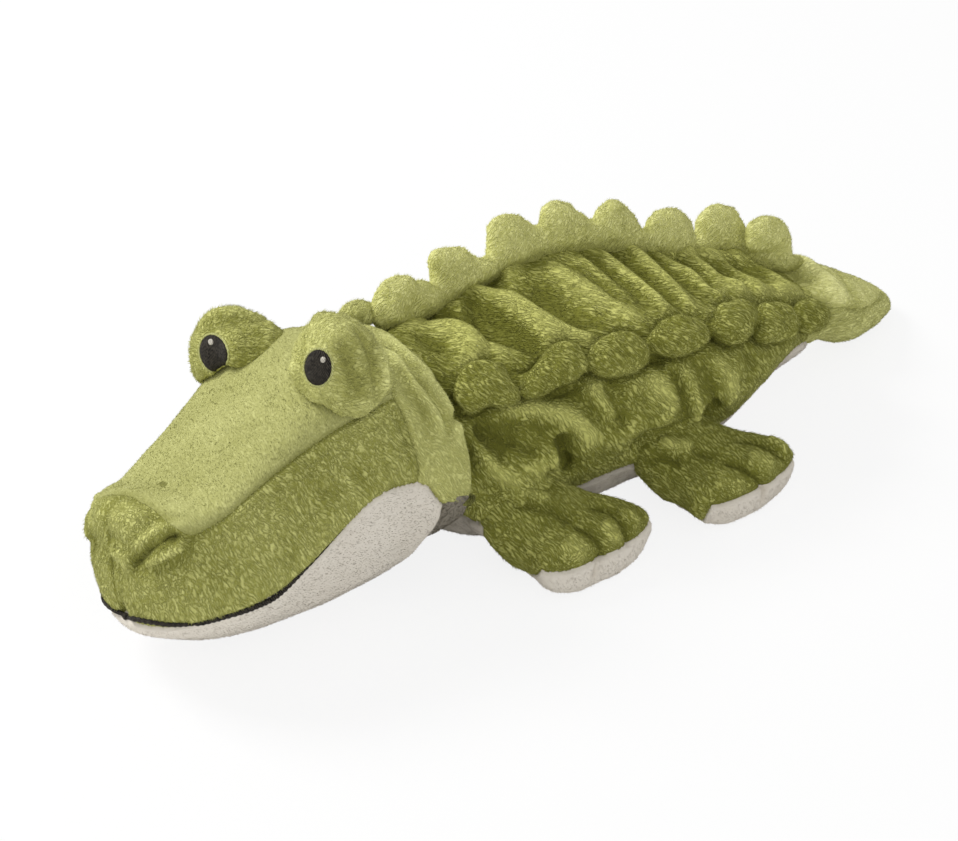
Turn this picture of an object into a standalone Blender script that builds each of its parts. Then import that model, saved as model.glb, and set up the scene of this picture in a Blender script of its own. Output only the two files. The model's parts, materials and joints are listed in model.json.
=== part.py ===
"""A stuffed plush crocodile that lies on its belly, in metres, +Z up.

The crocodile faces -Y with its tail towards +Y, and its own left side is at +X.
The origin is on the surface it lies on, under the middle of its box.
Its skin is cut from short pile fabric, in panels that meet at sewn seams, over loose filling.
"""
import math

import bpy
import numpy as np
from mathutils import Vector

# Driving sizes of the whole toy.
TORSO_LENGTH = 0.184
TORSO_WIDTH = 0.088
TORSO_HEIGHT = 0.069
NECK_RADIUS = 0.035
NECK_HEIGHT = 0.040
HEAD_LENGTH = 0.1185
HEAD_WIDTH = 0.084
HEAD_RISE = 0.0465
TAIL_LENGTH = 0.052
TAIL_WIDTH = 0.036
TAIL_HEIGHT = 0.028
TAIL_AXIS_HEIGHT = 0.024
TAIL_SIDE = -0.0025
TAIL_BEND = 0.005

# Cloth, filling and the room between them.
FABRIC = 0.002
SEAM_GAP = 0.0004
CLEARANCE = 0.0003
FILLING_GAP = 0.0008
JOINT_GAP = 0.0009
HOOD_THICKNESS = 0.0026
SMALLEST = 0.0001

# How the head is held: turned and tilted, in degrees.
HEAD_TURN = 6.0
HEAD_TILT = 17.0

# Scallops along the two back seams.
SCALLOP_HEIGHT = 0.0185
SCALLOP_THICKNESS = 0.0125
SCALLOP_NECK = 0.0035

# Eyes, nose and mouth.
DOME_WIDTH = 0.031
DOME_DEPTH = 0.030
DOME_HEIGHT = 0.036
EYE_WIDTH = 0.0125
EYE_HEIGHT = 0.0132
EYE_THICKNESS = 0.0010
GLINT_WIDTH = 0.0022
GLINT_THICKNESS = 0.0005
NOSE_PAD_HEIGHT = 0.0048
NOSE_PAD_EDGE = 0.0008
NOSTRIL_DEPTH = 0.0035
MOUTH_CORD = 0.0015

# Legs, each on a root that turns in a slot of the torso's side.
LEG_REACH = 0.037
LEG_ROOT_RADIUS = 0.0093
LEG_AXIS_HEIGHT = 0.019
LEG_AXIS_SIDE = 0.033
LEG_WIDTH = 0.053
LEG_SLANT = 0.013
SLOT_ROOM = 0.0006

# The bag of pellets on the belly.
POUCH_LENGTH = 0.070
POUCH_WIDTH = 0.036
POUCH_HEIGHT = 0.013

GREEN = (0.30, 0.31, 0.06, 1.0)
LIGHT_GREEN = (0.36, 0.36, 0.09, 1.0)
WHITE = (0.70, 0.66, 0.58, 1.0)
BLACK = (0.02, 0.02, 0.02, 1.0)
GLINT_WHITE = (0.80, 0.78, 0.72, 1.0)
FIBRE = (0.85, 0.85, 0.83, 1.0)
CALICO = (0.62, 0.55, 0.42, 1.0)

NECK_Y = -0.0582
NECK_CENTRE = np.array([0.0, NECK_Y, NECK_HEIGHT])
TAIL_CENTRE = np.array([TAIL_SIDE, NECK_Y + TORSO_LENGTH, TAIL_AXIS_HEIGHT])
UP = np.array([0.0, 0.0, 1.0])

for old in list(bpy.data.objects):
    bpy.data.objects.remove(old)


def material(name, colour, roughness):
    """A plain finish for one kind of cloth, thread or filling."""
    finish = bpy.data.materials.new(name)
    finish.use_nodes = True
    shader = finish.node_tree.nodes["Principled BSDF"]
    shader.inputs["Base Color"].default_value = colour
    shader.inputs["Roughness"].default_value = roughness
    shader.inputs["Metallic"].default_value = 0.0
    return finish


FINISHES = {
    "green": material("green_pile", GREEN, 0.9),
    "light": material("light_green_pile", LIGHT_GREEN, 0.9),
    "white": material("white_pile", WHITE, 0.9),
    "black": material("black_thread", BLACK, 0.6),
    "glint": material("white_thread", GLINT_WHITE, 0.6),
    "fibre": material("stuffing_fibre", FIBRE, 1.0),
    "calico": material("calico", CALICO, 0.95),
}


def new_object(name, points, faces, finish, origin=(0.0, 0.0, 0.0)):
    """A named object whose mesh is given in world places, with its origin on a joint if it has one."""
    mesh = bpy.data.meshes.new(name)
    centre = np.array(origin)
    mesh.from_pydata([tuple(np.array(point) - centre) for point in points], [], faces)
    mesh.validate()
    piece = bpy.data.objects.new(name, mesh)
    piece.location = Vector(origin)
    mesh.materials.append(FINISHES[finish])
    mesh.shade_smooth()
    bpy.context.collection.objects.link(piece)
    return piece


def between(table, along):
    """Rows of a table, joined smoothly: the row at any place along it, by Catmull-Rom."""
    places = [row[0] for row in table]
    last = len(table) - 1
    index = min(max(sum(place <= along for place in places) - 1, 0), last - 1)
    start, end = places[index], places[index + 1]
    part = (along - start) / (end - start)
    rows = [np.array(table[min(max(index + step, 0), last)][1:]) for step in (-1, 0, 1, 2)]
    return spline_point(rows, part)


def spline_point(four, part):
    """A point between the middle two of four points of a Catmull-Rom curve."""
    before, first, second, after = four
    square = part * part
    cube = square * part
    return 0.5 * (2 * first + (second - before) * part
                  + (2 * before - 5 * first + 4 * second - after) * square
                  + (3 * first - before - 3 * second + after) * cube)


def outline(half, steps):
    """A closed outline from its right half: points on a smooth curve, in order from the top centre.

    half lists the controls from top centre to bottom centre, and steps the faces in each span.
    A step of 0 stands for a seam, whose two edges lie a seam's gap apart.
    """
    left = [point * np.array([-1.0, 1.0]) for point in half[-2:0:-1]]
    ring = [np.array(point) for point in half] + left
    spans = steps + steps[::-1]
    count = len(ring)
    points = []
    for index in range(count):
        four = [ring[(index + step) % count] for step in (-1, 0, 1, 2)]
        for step in range(spans[index]):
            points.append(spline_point(four, step / spans[index]))
    return points


def split_seams(points, seams):
    """The outline with each seam point replaced by two, half a gap to each side of it."""
    count = len(points)
    result = []
    for index, point in enumerate(points):
        if index not in seams:
            result.append(point)
            continue
        for towards in (points[(index - 1) % count], points[(index + 1) % count]):
            away = towards - point
            length = max(math.hypot(*away), SMALLEST)
            result.append(point + away / length * min(SEAM_GAP / 2, length / 3))
    return result


def normals(grid):
    """Outward directions at the points of a grid of rings."""
    across = np.roll(grid, -1, axis=1) - np.roll(grid, 1, axis=1)
    along = np.empty_like(grid)
    along[1:-1] = grid[2:] - grid[:-2]
    along[0] = grid[1] - grid[0]
    along[-1] = grid[-1] - grid[-2]
    out = np.cross(across, along)
    out /= np.maximum(np.linalg.norm(out, axis=2, keepdims=True), SMALLEST ** 3)
    # The two edges of a seam face the same way, so that they stay apart all through the cloth.
    for axis in (0, 1):
        step = np.linalg.norm(np.roll(grid, -1, axis=axis) - grid, axis=2).mean(axis=1 - axis)
        for place in np.flatnonzero(step < 2 * SEAM_GAP):
            edge = np.take(out, place, axis) + np.take(out, (place + 1) % len(step), axis)
            edge /= np.maximum(np.linalg.norm(edge, axis=1, keepdims=True), SMALLEST)
            for side in (place, (place + 1) % len(step)):
                if axis:
                    out[:, side] = edge
                else:
                    out[side] = edge
    middle = grid.mean(axis=1, keepdims=True)
    inward = np.sum(out * (grid - middle), axis=(1, 2)).sum() < 0
    return -out if inward else out


def floored(grid):
    """The grid with nothing under the surface that the toy lies on."""
    result = grid.copy()
    result[..., 2] = np.maximum(result[..., 2], 0.0)
    return result


def facing(points, faces):
    """The faces, turned over if they enclose a negative volume."""
    corners = np.array(points)
    volume = 0.0
    for face in faces:
        for index in range(1, len(face) - 1):
            a, b, c = corners[face[0]], corners[face[index]], corners[face[index + 1]]
            volume += np.dot(a, np.cross(b, c))
    return faces if volume > 0 else [(face[0],) + tuple(reversed(face[1:])) for face in faces]


def solid(name, rings, poles, finish, origin=(0.0, 0.0, 0.0)):
    """A closed body lofted through rings of equal count, with a pole at each end."""
    count = len(rings[0])
    points = [point for ring in rings for point in ring] + list(poles)
    first, last = len(points) - 2, len(points) - 1
    faces = []
    for row in range(len(rings) - 1):
        for column in range(count):
            right = (column + 1) % count
            faces.append((row * count + column, row * count + right,
                          (row + 1) * count + right, (row + 1) * count + column))
    end = (len(rings) - 1) * count
    for column in range(count):
        right = (column + 1) % count
        faces.append((first, right, column))
        faces.append((last, end + column, end + right))
    return new_object(name, points, facing(points, faces), finish, origin)


def panel(name, outer, inner, cells, finish, origin=(0.0, 0.0, 0.0)):
    """A cloth panel: the chosen cells of an outer and an inner grid, closed round its edge."""
    rows, count = outer.shape[:2]
    places, points = {}, []

    def corner(layer, row, column):
        key = (layer, row, column % count)
        if key not in places:
            places[key] = len(points)
            points.append((outer if layer else inner)[row, column % count])
        return places[key]

    faces, edges = [], {}
    for row, column in cells:
        around = [(row, column), (row, column + 1), (row + 1, column + 1), (row + 1, column)]
        around = [(r, c % count) for r, c in around]
        faces.append(tuple(corner(1, *place) for place in around))
        faces.append(tuple(corner(0, *around[index]) for index in (0, 3, 2, 1)))
        for index in range(4):
            edges[(around[index], around[(index + 1) % 4])] = True
    for start, end in edges:
        if (end, start) not in edges:
            faces.append((corner(1, *end), corner(1, *start), corner(0, *start), corner(0, *end)))
    return new_object(name, points, facing(points, faces), finish, origin)


def cut(piece, cutter):
    """Takes the cutter's shape out of a piece."""
    boolean = piece.modifiers.new("cut_" + cutter.name, "BOOLEAN")
    boolean.operation = "DIFFERENCE"
    boolean.solver = "EXACT"
    boolean.object = cutter


def as_cutter(piece):
    """Hides a shape that only cuts others."""
    piece.hide_render = True
    piece.display_type = "WIRE"
    return piece


# The torso, from the neck's centre (0) to the tail's (1).
# Each row: place, then top, crown, back seam, flank, belly seam, belly edge and bottom,
# as shares of half the width and of the height.
TORSO_SHARES = [
    (0.000, (0.00, 1.09), (0.34, 1.04), (0.57, 0.93), (0.80, 0.58), (0.50, 0.19), (0.27, 0.10), (0.00, 0.07)),
    (0.065, (0.00, 1.02), (0.31, 1.00), (0.58, 0.91), (0.82, 0.52), (0.61, 0.12), (0.44, 0.02), (0.00, 0.02)),
    (0.120, (0.00, 0.97), (0.32, 0.96), (0.61, 0.89), (0.89, 0.49), (0.68, 0.11), (0.50, 0.00), (0.00, -0.01)),
    (0.239, (0.00, 0.99), (0.36, 0.98), (0.69, 0.89), (0.93, 0.49), (0.72, 0.11), (0.54, 0.00), (0.00, -0.01)),
    (0.380, (0.00, 1.00), (0.41, 0.99), (0.76, 0.90), (0.98, 0.51), (0.74, 0.11), (0.56, 0.00), (0.00, -0.01)),
    (0.522, (0.00, 0.96), (0.43, 0.95), (0.80, 0.86), (1.00, 0.48), (0.74, 0.12), (0.55, 0.00), (0.00, -0.01)),
    (0.641, (0.00, 0.88), (0.43, 0.87), (0.80, 0.78), (0.94, 0.44), (0.68, 0.13), (0.47, 0.00), (0.00, -0.01)),
    (0.777, (0.00, 0.77), (0.39, 0.75), (0.72, 0.67), (0.76, 0.44), (0.48, 0.16), (0.30, 0.03), (0.00, -0.01)),
    (0.891, (0.00, 0.66), (0.33, 0.64), (0.61, 0.57), (0.56, 0.44), (0.37, 0.18), (0.21, 0.11), (0.00, 0.08)),
    (1.000, (0.00, 0.56), (0.27, 0.55), (0.49, 0.46), (0.46, 0.36), (0.33, 0.18), (0.20, 0.12), (0.00, 0.10)),
]
FAR_RISE_SHARE = 0.13
REAR_SHARE = 0.72
TORSO_SKIN_ROW_SHARES = [0.0, 0.04, 0.08, 0.12, 0.18, 0.24, 0.31, 0.38, 0.45, 0.52, 0.58, 0.64, 0.71, 0.78, 0.84, 0.89]
SKIN_UNDER_HOOD_SHARE = 0.22
RIM_ANGLE = math.radians(30.0)
RIM_SHARE = 1.0 - (TAIL_WIDTH / 2 + JOINT_GAP) * math.sin(RIM_ANGLE) / TORSO_LENGTH


def settled(point, share):
    """A point of the torso, where its filling has settled: its far side is fuller, its rear leans to the tail."""
    middle = math.sin(math.pi * min(max(share, 0.0), 1.0))
    rise = 1.0 + FAR_RISE_SHARE * middle * max(-point[0], 0.0) / (TORSO_WIDTH / 2)
    rear = min(max((share - REAR_SHARE) / (1.0 - REAR_SHARE), 0.0), 1.0)
    return np.array([point[0] + TAIL_SIDE * rear, point[1] * rise])


def torso_outline(share, steps):
    """The torso's outline at a place along it, as points across and up."""
    half = between(TORSO_SHARES, share) * np.array([TORSO_WIDTH / 2, TORSO_HEIGHT])
    return [settled(point, share) for point in outline(list(half), steps)]


def neck_outline(ahead, steps):
    """The ball of the neck, cut at a distance ahead of its centre."""
    radius = math.sqrt(max(NECK_RADIUS ** 2 - ahead ** 2, SMALLEST ** 2))
    half = np.array(TORSO_SHARES[0][1:]) * np.array([TORSO_WIDTH / 2, TORSO_HEIGHT])
    half[:, 1] -= NECK_HEIGHT
    sizes = np.maximum(np.linalg.norm(half, axis=1, keepdims=True), SMALLEST)
    return [point * radius / max(math.hypot(*point), SMALLEST) + np.array([0.0, NECK_HEIGHT])
            for point in outline(list(half / sizes * NECK_RADIUS), steps)]


def torso_grid(shares, steps, seams):
    """Rings of the torso's surface at the given places, in world places."""
    rings = []
    for share in shares:
        y = NECK_Y + share * TORSO_LENGTH
        flat = torso_outline(share, steps) if share > 0 else neck_outline(-share * TORSO_LENGTH, steps)
        rings.append([np.array([point[0], y, point[1]]) for point in split_seams(flat, seams)])
    return np.array(rings)


def inset(grid, depth):
    """A grid moved inwards from its surface, and still above the floor by as much."""
    moved = grid - normals(grid) * depth
    moved[..., 2] = np.maximum(moved[..., 2], depth)
    return moved


TORSO_STEPS = [2, 2, 3, 2, 2, 2]
BACK_COLUMNS = 4
FLANK_COLUMNS = 5
TORSO_SEAMS = [4, 9, 17, 22]
under_hood = [-SKIN_UNDER_HOOD_SHARE * part * NECK_RADIUS / TORSO_LENGTH for part in (1.0, 0.5)]
torso_rows = under_hood + TORSO_SKIN_ROW_SHARES + [RIM_SHARE]
torso_outer = floored(torso_grid(torso_rows, TORSO_STEPS, TORSO_SEAMS))
torso_inner = inset(torso_outer, FABRIC)
last_row = len(torso_rows) - 1

# Columns of the torso's grid: back, seam, flank, seam, belly, and the same on the other side.
ring_size = torso_outer.shape[1]
back_columns = list(range(BACK_COLUMNS)) + list(range(ring_size - BACK_COLUMNS, ring_size))
left_columns = list(range(BACK_COLUMNS + 1, BACK_COLUMNS + 1 + FLANK_COLUMNS))
right_columns = [ring_size - 1 - column for column in left_columns]
belly_start = left_columns[-1] + 2
belly_columns = list(range(belly_start, ring_size - belly_start))


def cells(rows, columns):
    """All the cells in some rows and columns of a grid."""
    return [(row, column) for row in rows for column in columns]


back_panel = panel("back_panel", torso_outer, torso_inner, cells(range(last_row), back_columns), "green")
side_left = panel("side_panel_left", torso_outer, torso_inner, cells(range(last_row), left_columns), "green")
side_right = panel("side_panel_right", torso_outer, torso_inner, cells(range(last_row), right_columns), "green")
belly_panel = panel("belly_panel", torso_outer, torso_inner, cells(range(last_row), belly_columns), "white")


# The torso's filling ends in a ball inside the head, and in a hollow for the ball of the tail.
STUFFING_STEPS = [2, 2, 2, 2, 1, 1]
BALL_SHARES = [0.97, 0.85, 0.67, 0.47, 0.27]
STUFFING_ROW_SHARES = [0.0, 0.04, 0.12, 0.24, 0.38, 0.52, 0.64, 0.78, 0.84, 0.89]
CUP_RING_SHARES = [0.62, 0.82, 0.95]


def tail_ball(ahead, count_shape, extra):
    """An outline round the tail's ball at a distance ahead of its centre, grown by extra."""
    wide, high = TAIL_WIDTH / 2 + extra, TAIL_HEIGHT / 2 + extra
    scale = math.sqrt(max(1.0 - (ahead / wide) ** 2, 0.0))
    points = []
    for point in count_shape:
        angle = math.atan2(point[1] - TAIL_AXIS_HEIGHT, point[0] - TAIL_SIDE)
        reach = 1.0 / math.hypot(math.cos(angle) / wide, math.sin(angle) / high)
        points.append(np.array([reach * math.cos(angle), 0.0, reach * math.sin(angle)]) * scale
                      + TAIL_CENTRE - np.array([0.0, ahead, 0.0]))
    return points


def torso_filling():
    """Loose fibre: the neck's ball, the inside of the skin, and the hollow for the tail."""
    depth = FABRIC + FILLING_GAP
    ball_grid = torso_grid([-share * NECK_RADIUS / TORSO_LENGTH for share in BALL_SHARES], STUFFING_STEPS, [])
    body_shares = [under_hood[0] - FILLING_GAP / TORSO_LENGTH] + STUFFING_ROW_SHARES + [RIM_SHARE]
    body_grid = inset(torso_grid(body_shares, STUFFING_STEPS, []), depth)
    rim_shape = torso_outline(RIM_SHARE, STUFFING_STEPS)
    reach = TAIL_WIDTH / 2 + JOINT_GAP
    cup = [tail_ball(reach * share, rim_shape, JOINT_GAP)
           for share in [math.sin(RIM_ANGLE)] + CUP_RING_SHARES]
    rings = list(ball_grid) + list(body_grid) + cup
    front = NECK_CENTRE - np.array([0.0, NECK_RADIUS, 0.0])
    back = TAIL_CENTRE - np.array([0.0, reach, 0.0])
    return solid("torso_stuffing", rings, (front, back), "fibre")


stuffing = torso_filling()


# A flat bag of pellets lies on the belly, in a hollow of the filling.
POUCH_PLACE_SHARE = 0.42
POUCH_ROWS = 6
POUCH_COLUMNS = 14


def pouch_body(name, extra, skirt):
    """A flat cushion with a level bottom; extra grows it on all sides, and a skirt lengthens it downwards."""
    centre = np.array([0.0, NECK_Y + POUCH_PLACE_SHARE * TORSO_LENGTH, FABRIC + CLEARANCE])
    length, width, height = POUCH_LENGTH / 2 + extra, POUCH_WIDTH / 2 + extra, POUCH_HEIGHT + extra
    rings = []
    for row in range(POUCH_ROWS):
        tilt = row / POUCH_ROWS * math.pi / 2
        ring = []
        for column in range(POUCH_COLUMNS):
            turn = 2 * math.pi * column / POUCH_COLUMNS
            ring.append(centre + np.array([width * math.cos(turn) * math.cos(tilt),
                                           length * math.sin(turn) * math.cos(tilt),
                                           height * math.sin(tilt)]))
        rings.append(ring)
    if skirt:
        rings.insert(0, [point - UP * skirt for point in rings[0]])
    return solid(name, rings, (centre - UP * skirt, centre + UP * height), "calico")


pouch_body("pellet_pouch", 0.0, 0.0)
pouch_room = as_cutter(pouch_body("pouch_room", FILLING_GAP, 2 * FABRIC))
cut(stuffing, pouch_room)


# The tail: a ball inside the torso, then a taper that bends a little and ends blunt on the floor.
# Each row: place along the tail, half width, and top and bottom about its axis, as shares of its own sizes.
TAIL_SHARES = [
    (0.000, 1.00, 0.500, -0.500),
    (0.150, 1.05, 0.470, -0.650),
    (0.333, 1.00, 0.310, -0.830),
    (0.520, 0.88, 0.070, -0.870),
    (0.704, 0.73, -0.140, -0.870),
    (0.852, 0.58, -0.350, -0.870),
    (0.950, 0.41, -0.510, -0.840),
    (1.000, 0.24, -0.590, -0.780),
]
TAIL_ROW_SHARES = [0.0, 0.15, 0.32, 0.48, 0.64, 0.79, 0.90, 0.96, 1.0]
TAIL_BALL_SHARES = [0.97, 0.86, 0.70, 0.55]
TAIL_SKIN_SHARES = [0.50, 0.25]
TAIL_BLUNT_SHARE = 0.79
TAIL_COLUMNS = 16
TAIL_SEAM_TILT = math.radians(-8.0)


def tail_ring(share, inward):
    """The tail's outline at a place along it, or a smaller one inside it."""
    half, top, bottom = between(TAIL_SHARES, share)
    wide = half * TAIL_WIDTH / 2 - inward
    high = max((top - bottom) * TAIL_HEIGHT / 2 - inward, 0.0) if share < 1.0 else 0.0
    middle = TAIL_AXIS_HEIGHT + (top + bottom) * TAIL_HEIGHT / 2
    blunt = inward * max(share - TAIL_BLUNT_SHARE, 0.0) / (1.0 - TAIL_BLUNT_SHARE)
    centre = np.array([TAIL_SIDE - TAIL_BEND * share ** 2, TAIL_CENTRE[1] + share * TAIL_LENGTH - blunt, middle])
    half_count = TAIL_COLUMNS // 2
    upper = math.pi - 2 * TAIL_SEAM_TILT
    ring = []
    for column in range(TAIL_COLUMNS):
        start, span = (TAIL_SEAM_TILT, upper) if column < half_count else (TAIL_SEAM_TILT + upper, 2 * math.pi - upper)
        turn = start + span * (column % half_count) / half_count
        for side in (-1, 1) if column % half_count == 0 else (0,):
            upper_side = side if column == 0 else -side if side else 1 if column < half_count else -1
            rise = upper_side * SEAM_GAP / 2 if side or high == 0 else 0.0
            ring.append(centre + np.array([wide * math.cos(turn), 0.0, high * math.sin(turn) + rise]))
    return [np.array([point[0], point[1], max(point[2], inward)]) for point in ring]


def tail_ball_ring(ahead_share, inward):
    """A ring of the tail's ball, ahead of its centre, or a smaller one inside it."""
    base = np.array(tail_ring(0.0, 0.0)) - TAIL_CENTRE
    scale = math.sqrt(1.0 - ahead_share ** 2) - inward / (TAIL_HEIGHT / 2)
    return list(base * scale + TAIL_CENTRE - np.array([0.0, ahead_share * TAIL_WIDTH / 2, 0.0]))


tail_outer, tail_inner = [np.array([tail_ball_ring(share, inward) for share in TAIL_SKIN_SHARES]
                                   + [tail_ring(share, inward) for share in TAIL_ROW_SHARES])
                          for inward in (0.0, FABRIC)]
tail_rows = len(tail_outer) - 1
upper_tail = list(range(1, TAIL_COLUMNS // 2 + 1))
lower_tail = list(range(TAIL_COLUMNS // 2 + 2, TAIL_COLUMNS + 2))
lower_tail = [column for column in lower_tail if column < tail_outer.shape[1]]
tail_pivot = tuple(TAIL_CENTRE)
panel("tail_top_panel", tail_outer, tail_inner, cells(range(tail_rows), upper_tail), "green", tail_pivot)
panel("tail_bottom_panel", tail_outer, tail_inner, cells(range(tail_rows), lower_tail), "green", tail_pivot)


def tail_filling():
    """Fibre in the tail, bare on the ball that sits inside the torso."""
    depth = FABRIC + FILLING_GAP
    step_share = (TAIL_BALL_SHARES[-1] + 2 * TAIL_SKIN_SHARES[0]) / 3
    rings = [tail_ball_ring(share, 0.0) for share in TAIL_BALL_SHARES]
    rings += [tail_ball_ring(share, depth) for share in (step_share, TAIL_SKIN_SHARES[1])]
    rings += [tail_ring(share, depth) for share in TAIL_ROW_SHARES[:-1]]
    front = TAIL_CENTRE - np.array([0.0, TAIL_WIDTH / 2, 0.0])
    tip = np.mean(rings[-1], axis=0) + np.array([0.0, CLEARANCE, 0.0])
    return solid("tail_stuffing", rings, (front, tip), "fibre", tail_pivot)


tail_filling()


# The head, from the neck's centre forward.
# Each row: place, then top, brow, side seam, cheek, mouth, jaw and bottom,
# as shares of half the head's width and of its rise over the neck.
HEAD_SHARES = [
    (0.000, (0.00, 0.84), (0.48, 0.72), (0.74, 0.51), (0.93, 0.04), (0.86, -0.32), (0.62, -0.71), (0.00, -0.94)),
    (0.101, (0.00, 0.91), (0.52, 0.80), (0.81, 0.56), (0.95, 0.11), (0.90, -0.19), (0.66, -0.70), (0.00, -0.95)),
    (0.211, (0.00, 1.00), (0.60, 0.89), (0.88, 0.60), (0.99, 0.22), (0.94, -0.04), (0.67, -0.65), (0.00, -0.92)),
    (0.338, (0.00, 0.97), (0.64, 0.88), (0.90, 0.59), (1.00, 0.26), (0.98, 0.02), (0.67, -0.64), (0.00, -0.91)),
    (0.464, (0.00, 0.79), (0.67, 0.74), (0.90, 0.56), (0.99, 0.17), (0.95, -0.11), (0.65, -0.66), (0.00, -0.90)),
    (0.591, (0.00, 0.66), (0.65, 0.62), (0.89, 0.49), (0.96, 0.11), (0.92, -0.26), (0.61, -0.65), (0.00, -0.87)),
    (0.700, (0.00, 0.51), (0.64, 0.49), (0.87, 0.41), (0.93, 0.04), (0.88, -0.35), (0.57, -0.64), (0.00, -0.84)),
    (0.802, (0.00, 0.40), (0.62, 0.38), (0.82, 0.30), (0.87, -0.04), (0.81, -0.37), (0.49, -0.61), (0.00, -0.76)),
    (0.869, (0.00, 0.35), (0.56, 0.30), (0.74, 0.23), (0.77, -0.09), (0.69, -0.38), (0.42, -0.57), (0.00, -0.67)),
    (0.920, (0.00, 0.33), (0.43, 0.26), (0.62, 0.17), (0.67, -0.11), (0.57, -0.39), (0.33, -0.54), (0.00, -0.60)),
    (0.962, (0.00, 0.28), (0.31, 0.22), (0.45, 0.12), (0.51, -0.13), (0.43, -0.39), (0.24, -0.49), (0.00, -0.54)),
    (0.987, (0.00, 0.15), (0.19, 0.10), (0.30, 0.02), (0.35, -0.17), (0.30, -0.38), (0.15, -0.44), (0.00, -0.47)),
    (1.000, (0.00, -0.24), (0.05, -0.25), (0.08, -0.28), (0.09, -0.32), (0.07, -0.37), (0.04, -0.39), (0.00, -0.40)),
]
FAR_CHEEK_SHARE = 0.93
FAR_SAG_SHARE = 0.12
FAR_START_SHARE = 0.40
FAR_END_SHARE = 0.62
HEAD_STEPS = [2, 2, 2, 2, 3, 2]
HEAD_SEAMS = [0, 4, 8, 18, 22]
BROW_COLUMNS = 4
CHEEK_COLUMNS = 4
HOOD_END_SHARE = 0.19
NOSE_FOLD_SHARE = 0.875
HEAD_ROW_SHARES = [0.0, 0.06, 0.125, HOOD_END_SHARE, 0.25, 0.32, 0.39, 0.46, 0.53, 0.60, 0.67, 0.74, 0.80,
                   0.84, NOSE_FOLD_SHARE, 0.91, 0.94, 0.965, 0.987, 1.0]

turn, tilt = math.radians(HEAD_TURN), math.radians(HEAD_TILT)
HEAD_FORWARD = np.array([math.sin(turn), -math.cos(turn), 0.0])
level_side = np.array([math.cos(turn), math.sin(turn), 0.0])
HEAD_SIDE = level_side * math.cos(tilt) + UP * math.sin(tilt)
HEAD_UP = UP * math.cos(tilt) - level_side * math.sin(tilt)
neck_pivot = tuple(NECK_CENTRE)


def on_head(side, forward, up):
    """A world place from one given across, ahead of and over the neck's centre."""
    return NECK_CENTRE + HEAD_SIDE * side + HEAD_FORWARD * forward + HEAD_UP * up


def head_ring(share, steps, seams):
    """A ring of the head's surface at a place along it."""
    half = between(HEAD_SHARES, share) * np.array([HEAD_WIDTH / 2, HEAD_RISE])
    flat = split_seams(outline(list(half), steps), seams)
    slack = min(max((share - FAR_START_SHARE) / (FAR_END_SHARE - FAR_START_SHARE), 0.0), 1.0)
    places = []
    for side, up in flat:
        if side < 0:
            up += FAR_SAG_SHARE * HEAD_RISE * slack * side / (HEAD_WIDTH / 2) * (1.0 if up > 0 else 0.0)
            side *= 1.0 - (1.0 - FAR_CHEEK_SHARE) * slack
        places.append(on_head(side, share * HEAD_LENGTH, up))
    return places


def head_rows(shares):
    """The head's row places, with the hood's seam and the fold over the nose split."""
    gap = SEAM_GAP / HEAD_LENGTH / 2
    rows = []
    for share in shares:
        rows += [share - gap, share + gap] if share in (HOOD_END_SHARE, NOSE_FOLD_SHARE) else [share]
    return rows


head_places = head_rows(HEAD_ROW_SHARES)
head_outer = floored(np.array([head_ring(share, HEAD_STEPS, HEAD_SEAMS) for share in head_places]))
hood_rows = HEAD_ROW_SHARES.index(HOOD_END_SHARE) + 1
fold_row = HEAD_ROW_SHARES.index(NOSE_FOLD_SHARE) + 1
depths = np.full((len(head_places), 1, 1), FABRIC)
depths[:hood_rows - 1] = HOOD_THICKNESS
head_inner = head_outer - normals(head_outer) * depths
head_inner[..., 2] = np.maximum(head_inner[..., 2], FABRIC)
head_size = head_outer.shape[1]
end_row = len(head_places) - 1

# Columns from the seam at the top centre: brow, seam, cheek, seam, jaw, and the same on the other side.
brow_left = list(range(1, BROW_COLUMNS + 1))
seam_left = BROW_COLUMNS + 1
cheek_left = list(range(seam_left + 1, seam_left + 1 + CHEEK_COLUMNS))
brow_right = [head_size - column for column in brow_left]
seam_right = head_size - seam_left
cheek_right = [head_size - column for column in cheek_left]
jaw_columns = list(range(cheek_left[-1] + 2, cheek_right[-1] - 1))
top_columns = [0] + brow_left + brow_right
hood_columns = top_columns + cheek_left + cheek_right + [seam_left, seam_right]
head_range, front_range = range(hood_rows, end_row), range(fold_row + 1, end_row)
top_range = range(hood_rows, fold_row)


def head_panel(name, chosen, finish):
    """One panel of the head's skin."""
    return panel(name, head_outer, head_inner, chosen, finish, neck_pivot)


head_panel("neck_hood", cells(range(hood_rows - 1), hood_columns), "green")
head_panel("throat_panel", cells(range(hood_rows - 1), jaw_columns), "white")
head_panel("head_top_panel", cells(top_range, top_columns), "light")
head_panel("head_side_left", cells(head_range, cheek_left) + cells(front_range, brow_left + [seam_left]), "green")
head_panel("head_side_right", cells(head_range, cheek_right)
           + cells(front_range, brow_right + [seam_right]), "green")
head_panel("jaw_panel", cells(head_range, jaw_columns), "white")


# The head's filling, hollow behind where the neck's ball turns in it.
HEAD_FILLING_SHARES = [0.11, HOOD_END_SHARE, 0.23, 0.34, 0.46, 0.59, 0.70, 0.80, 0.87, 0.93, 0.975]
HEAD_FILLING_STEPS = [2, 2, 2, 2, 2, 2]
CUP_ANGLES = [math.radians(angle) for angle in (52.0, 34.0, 17.0)]


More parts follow.
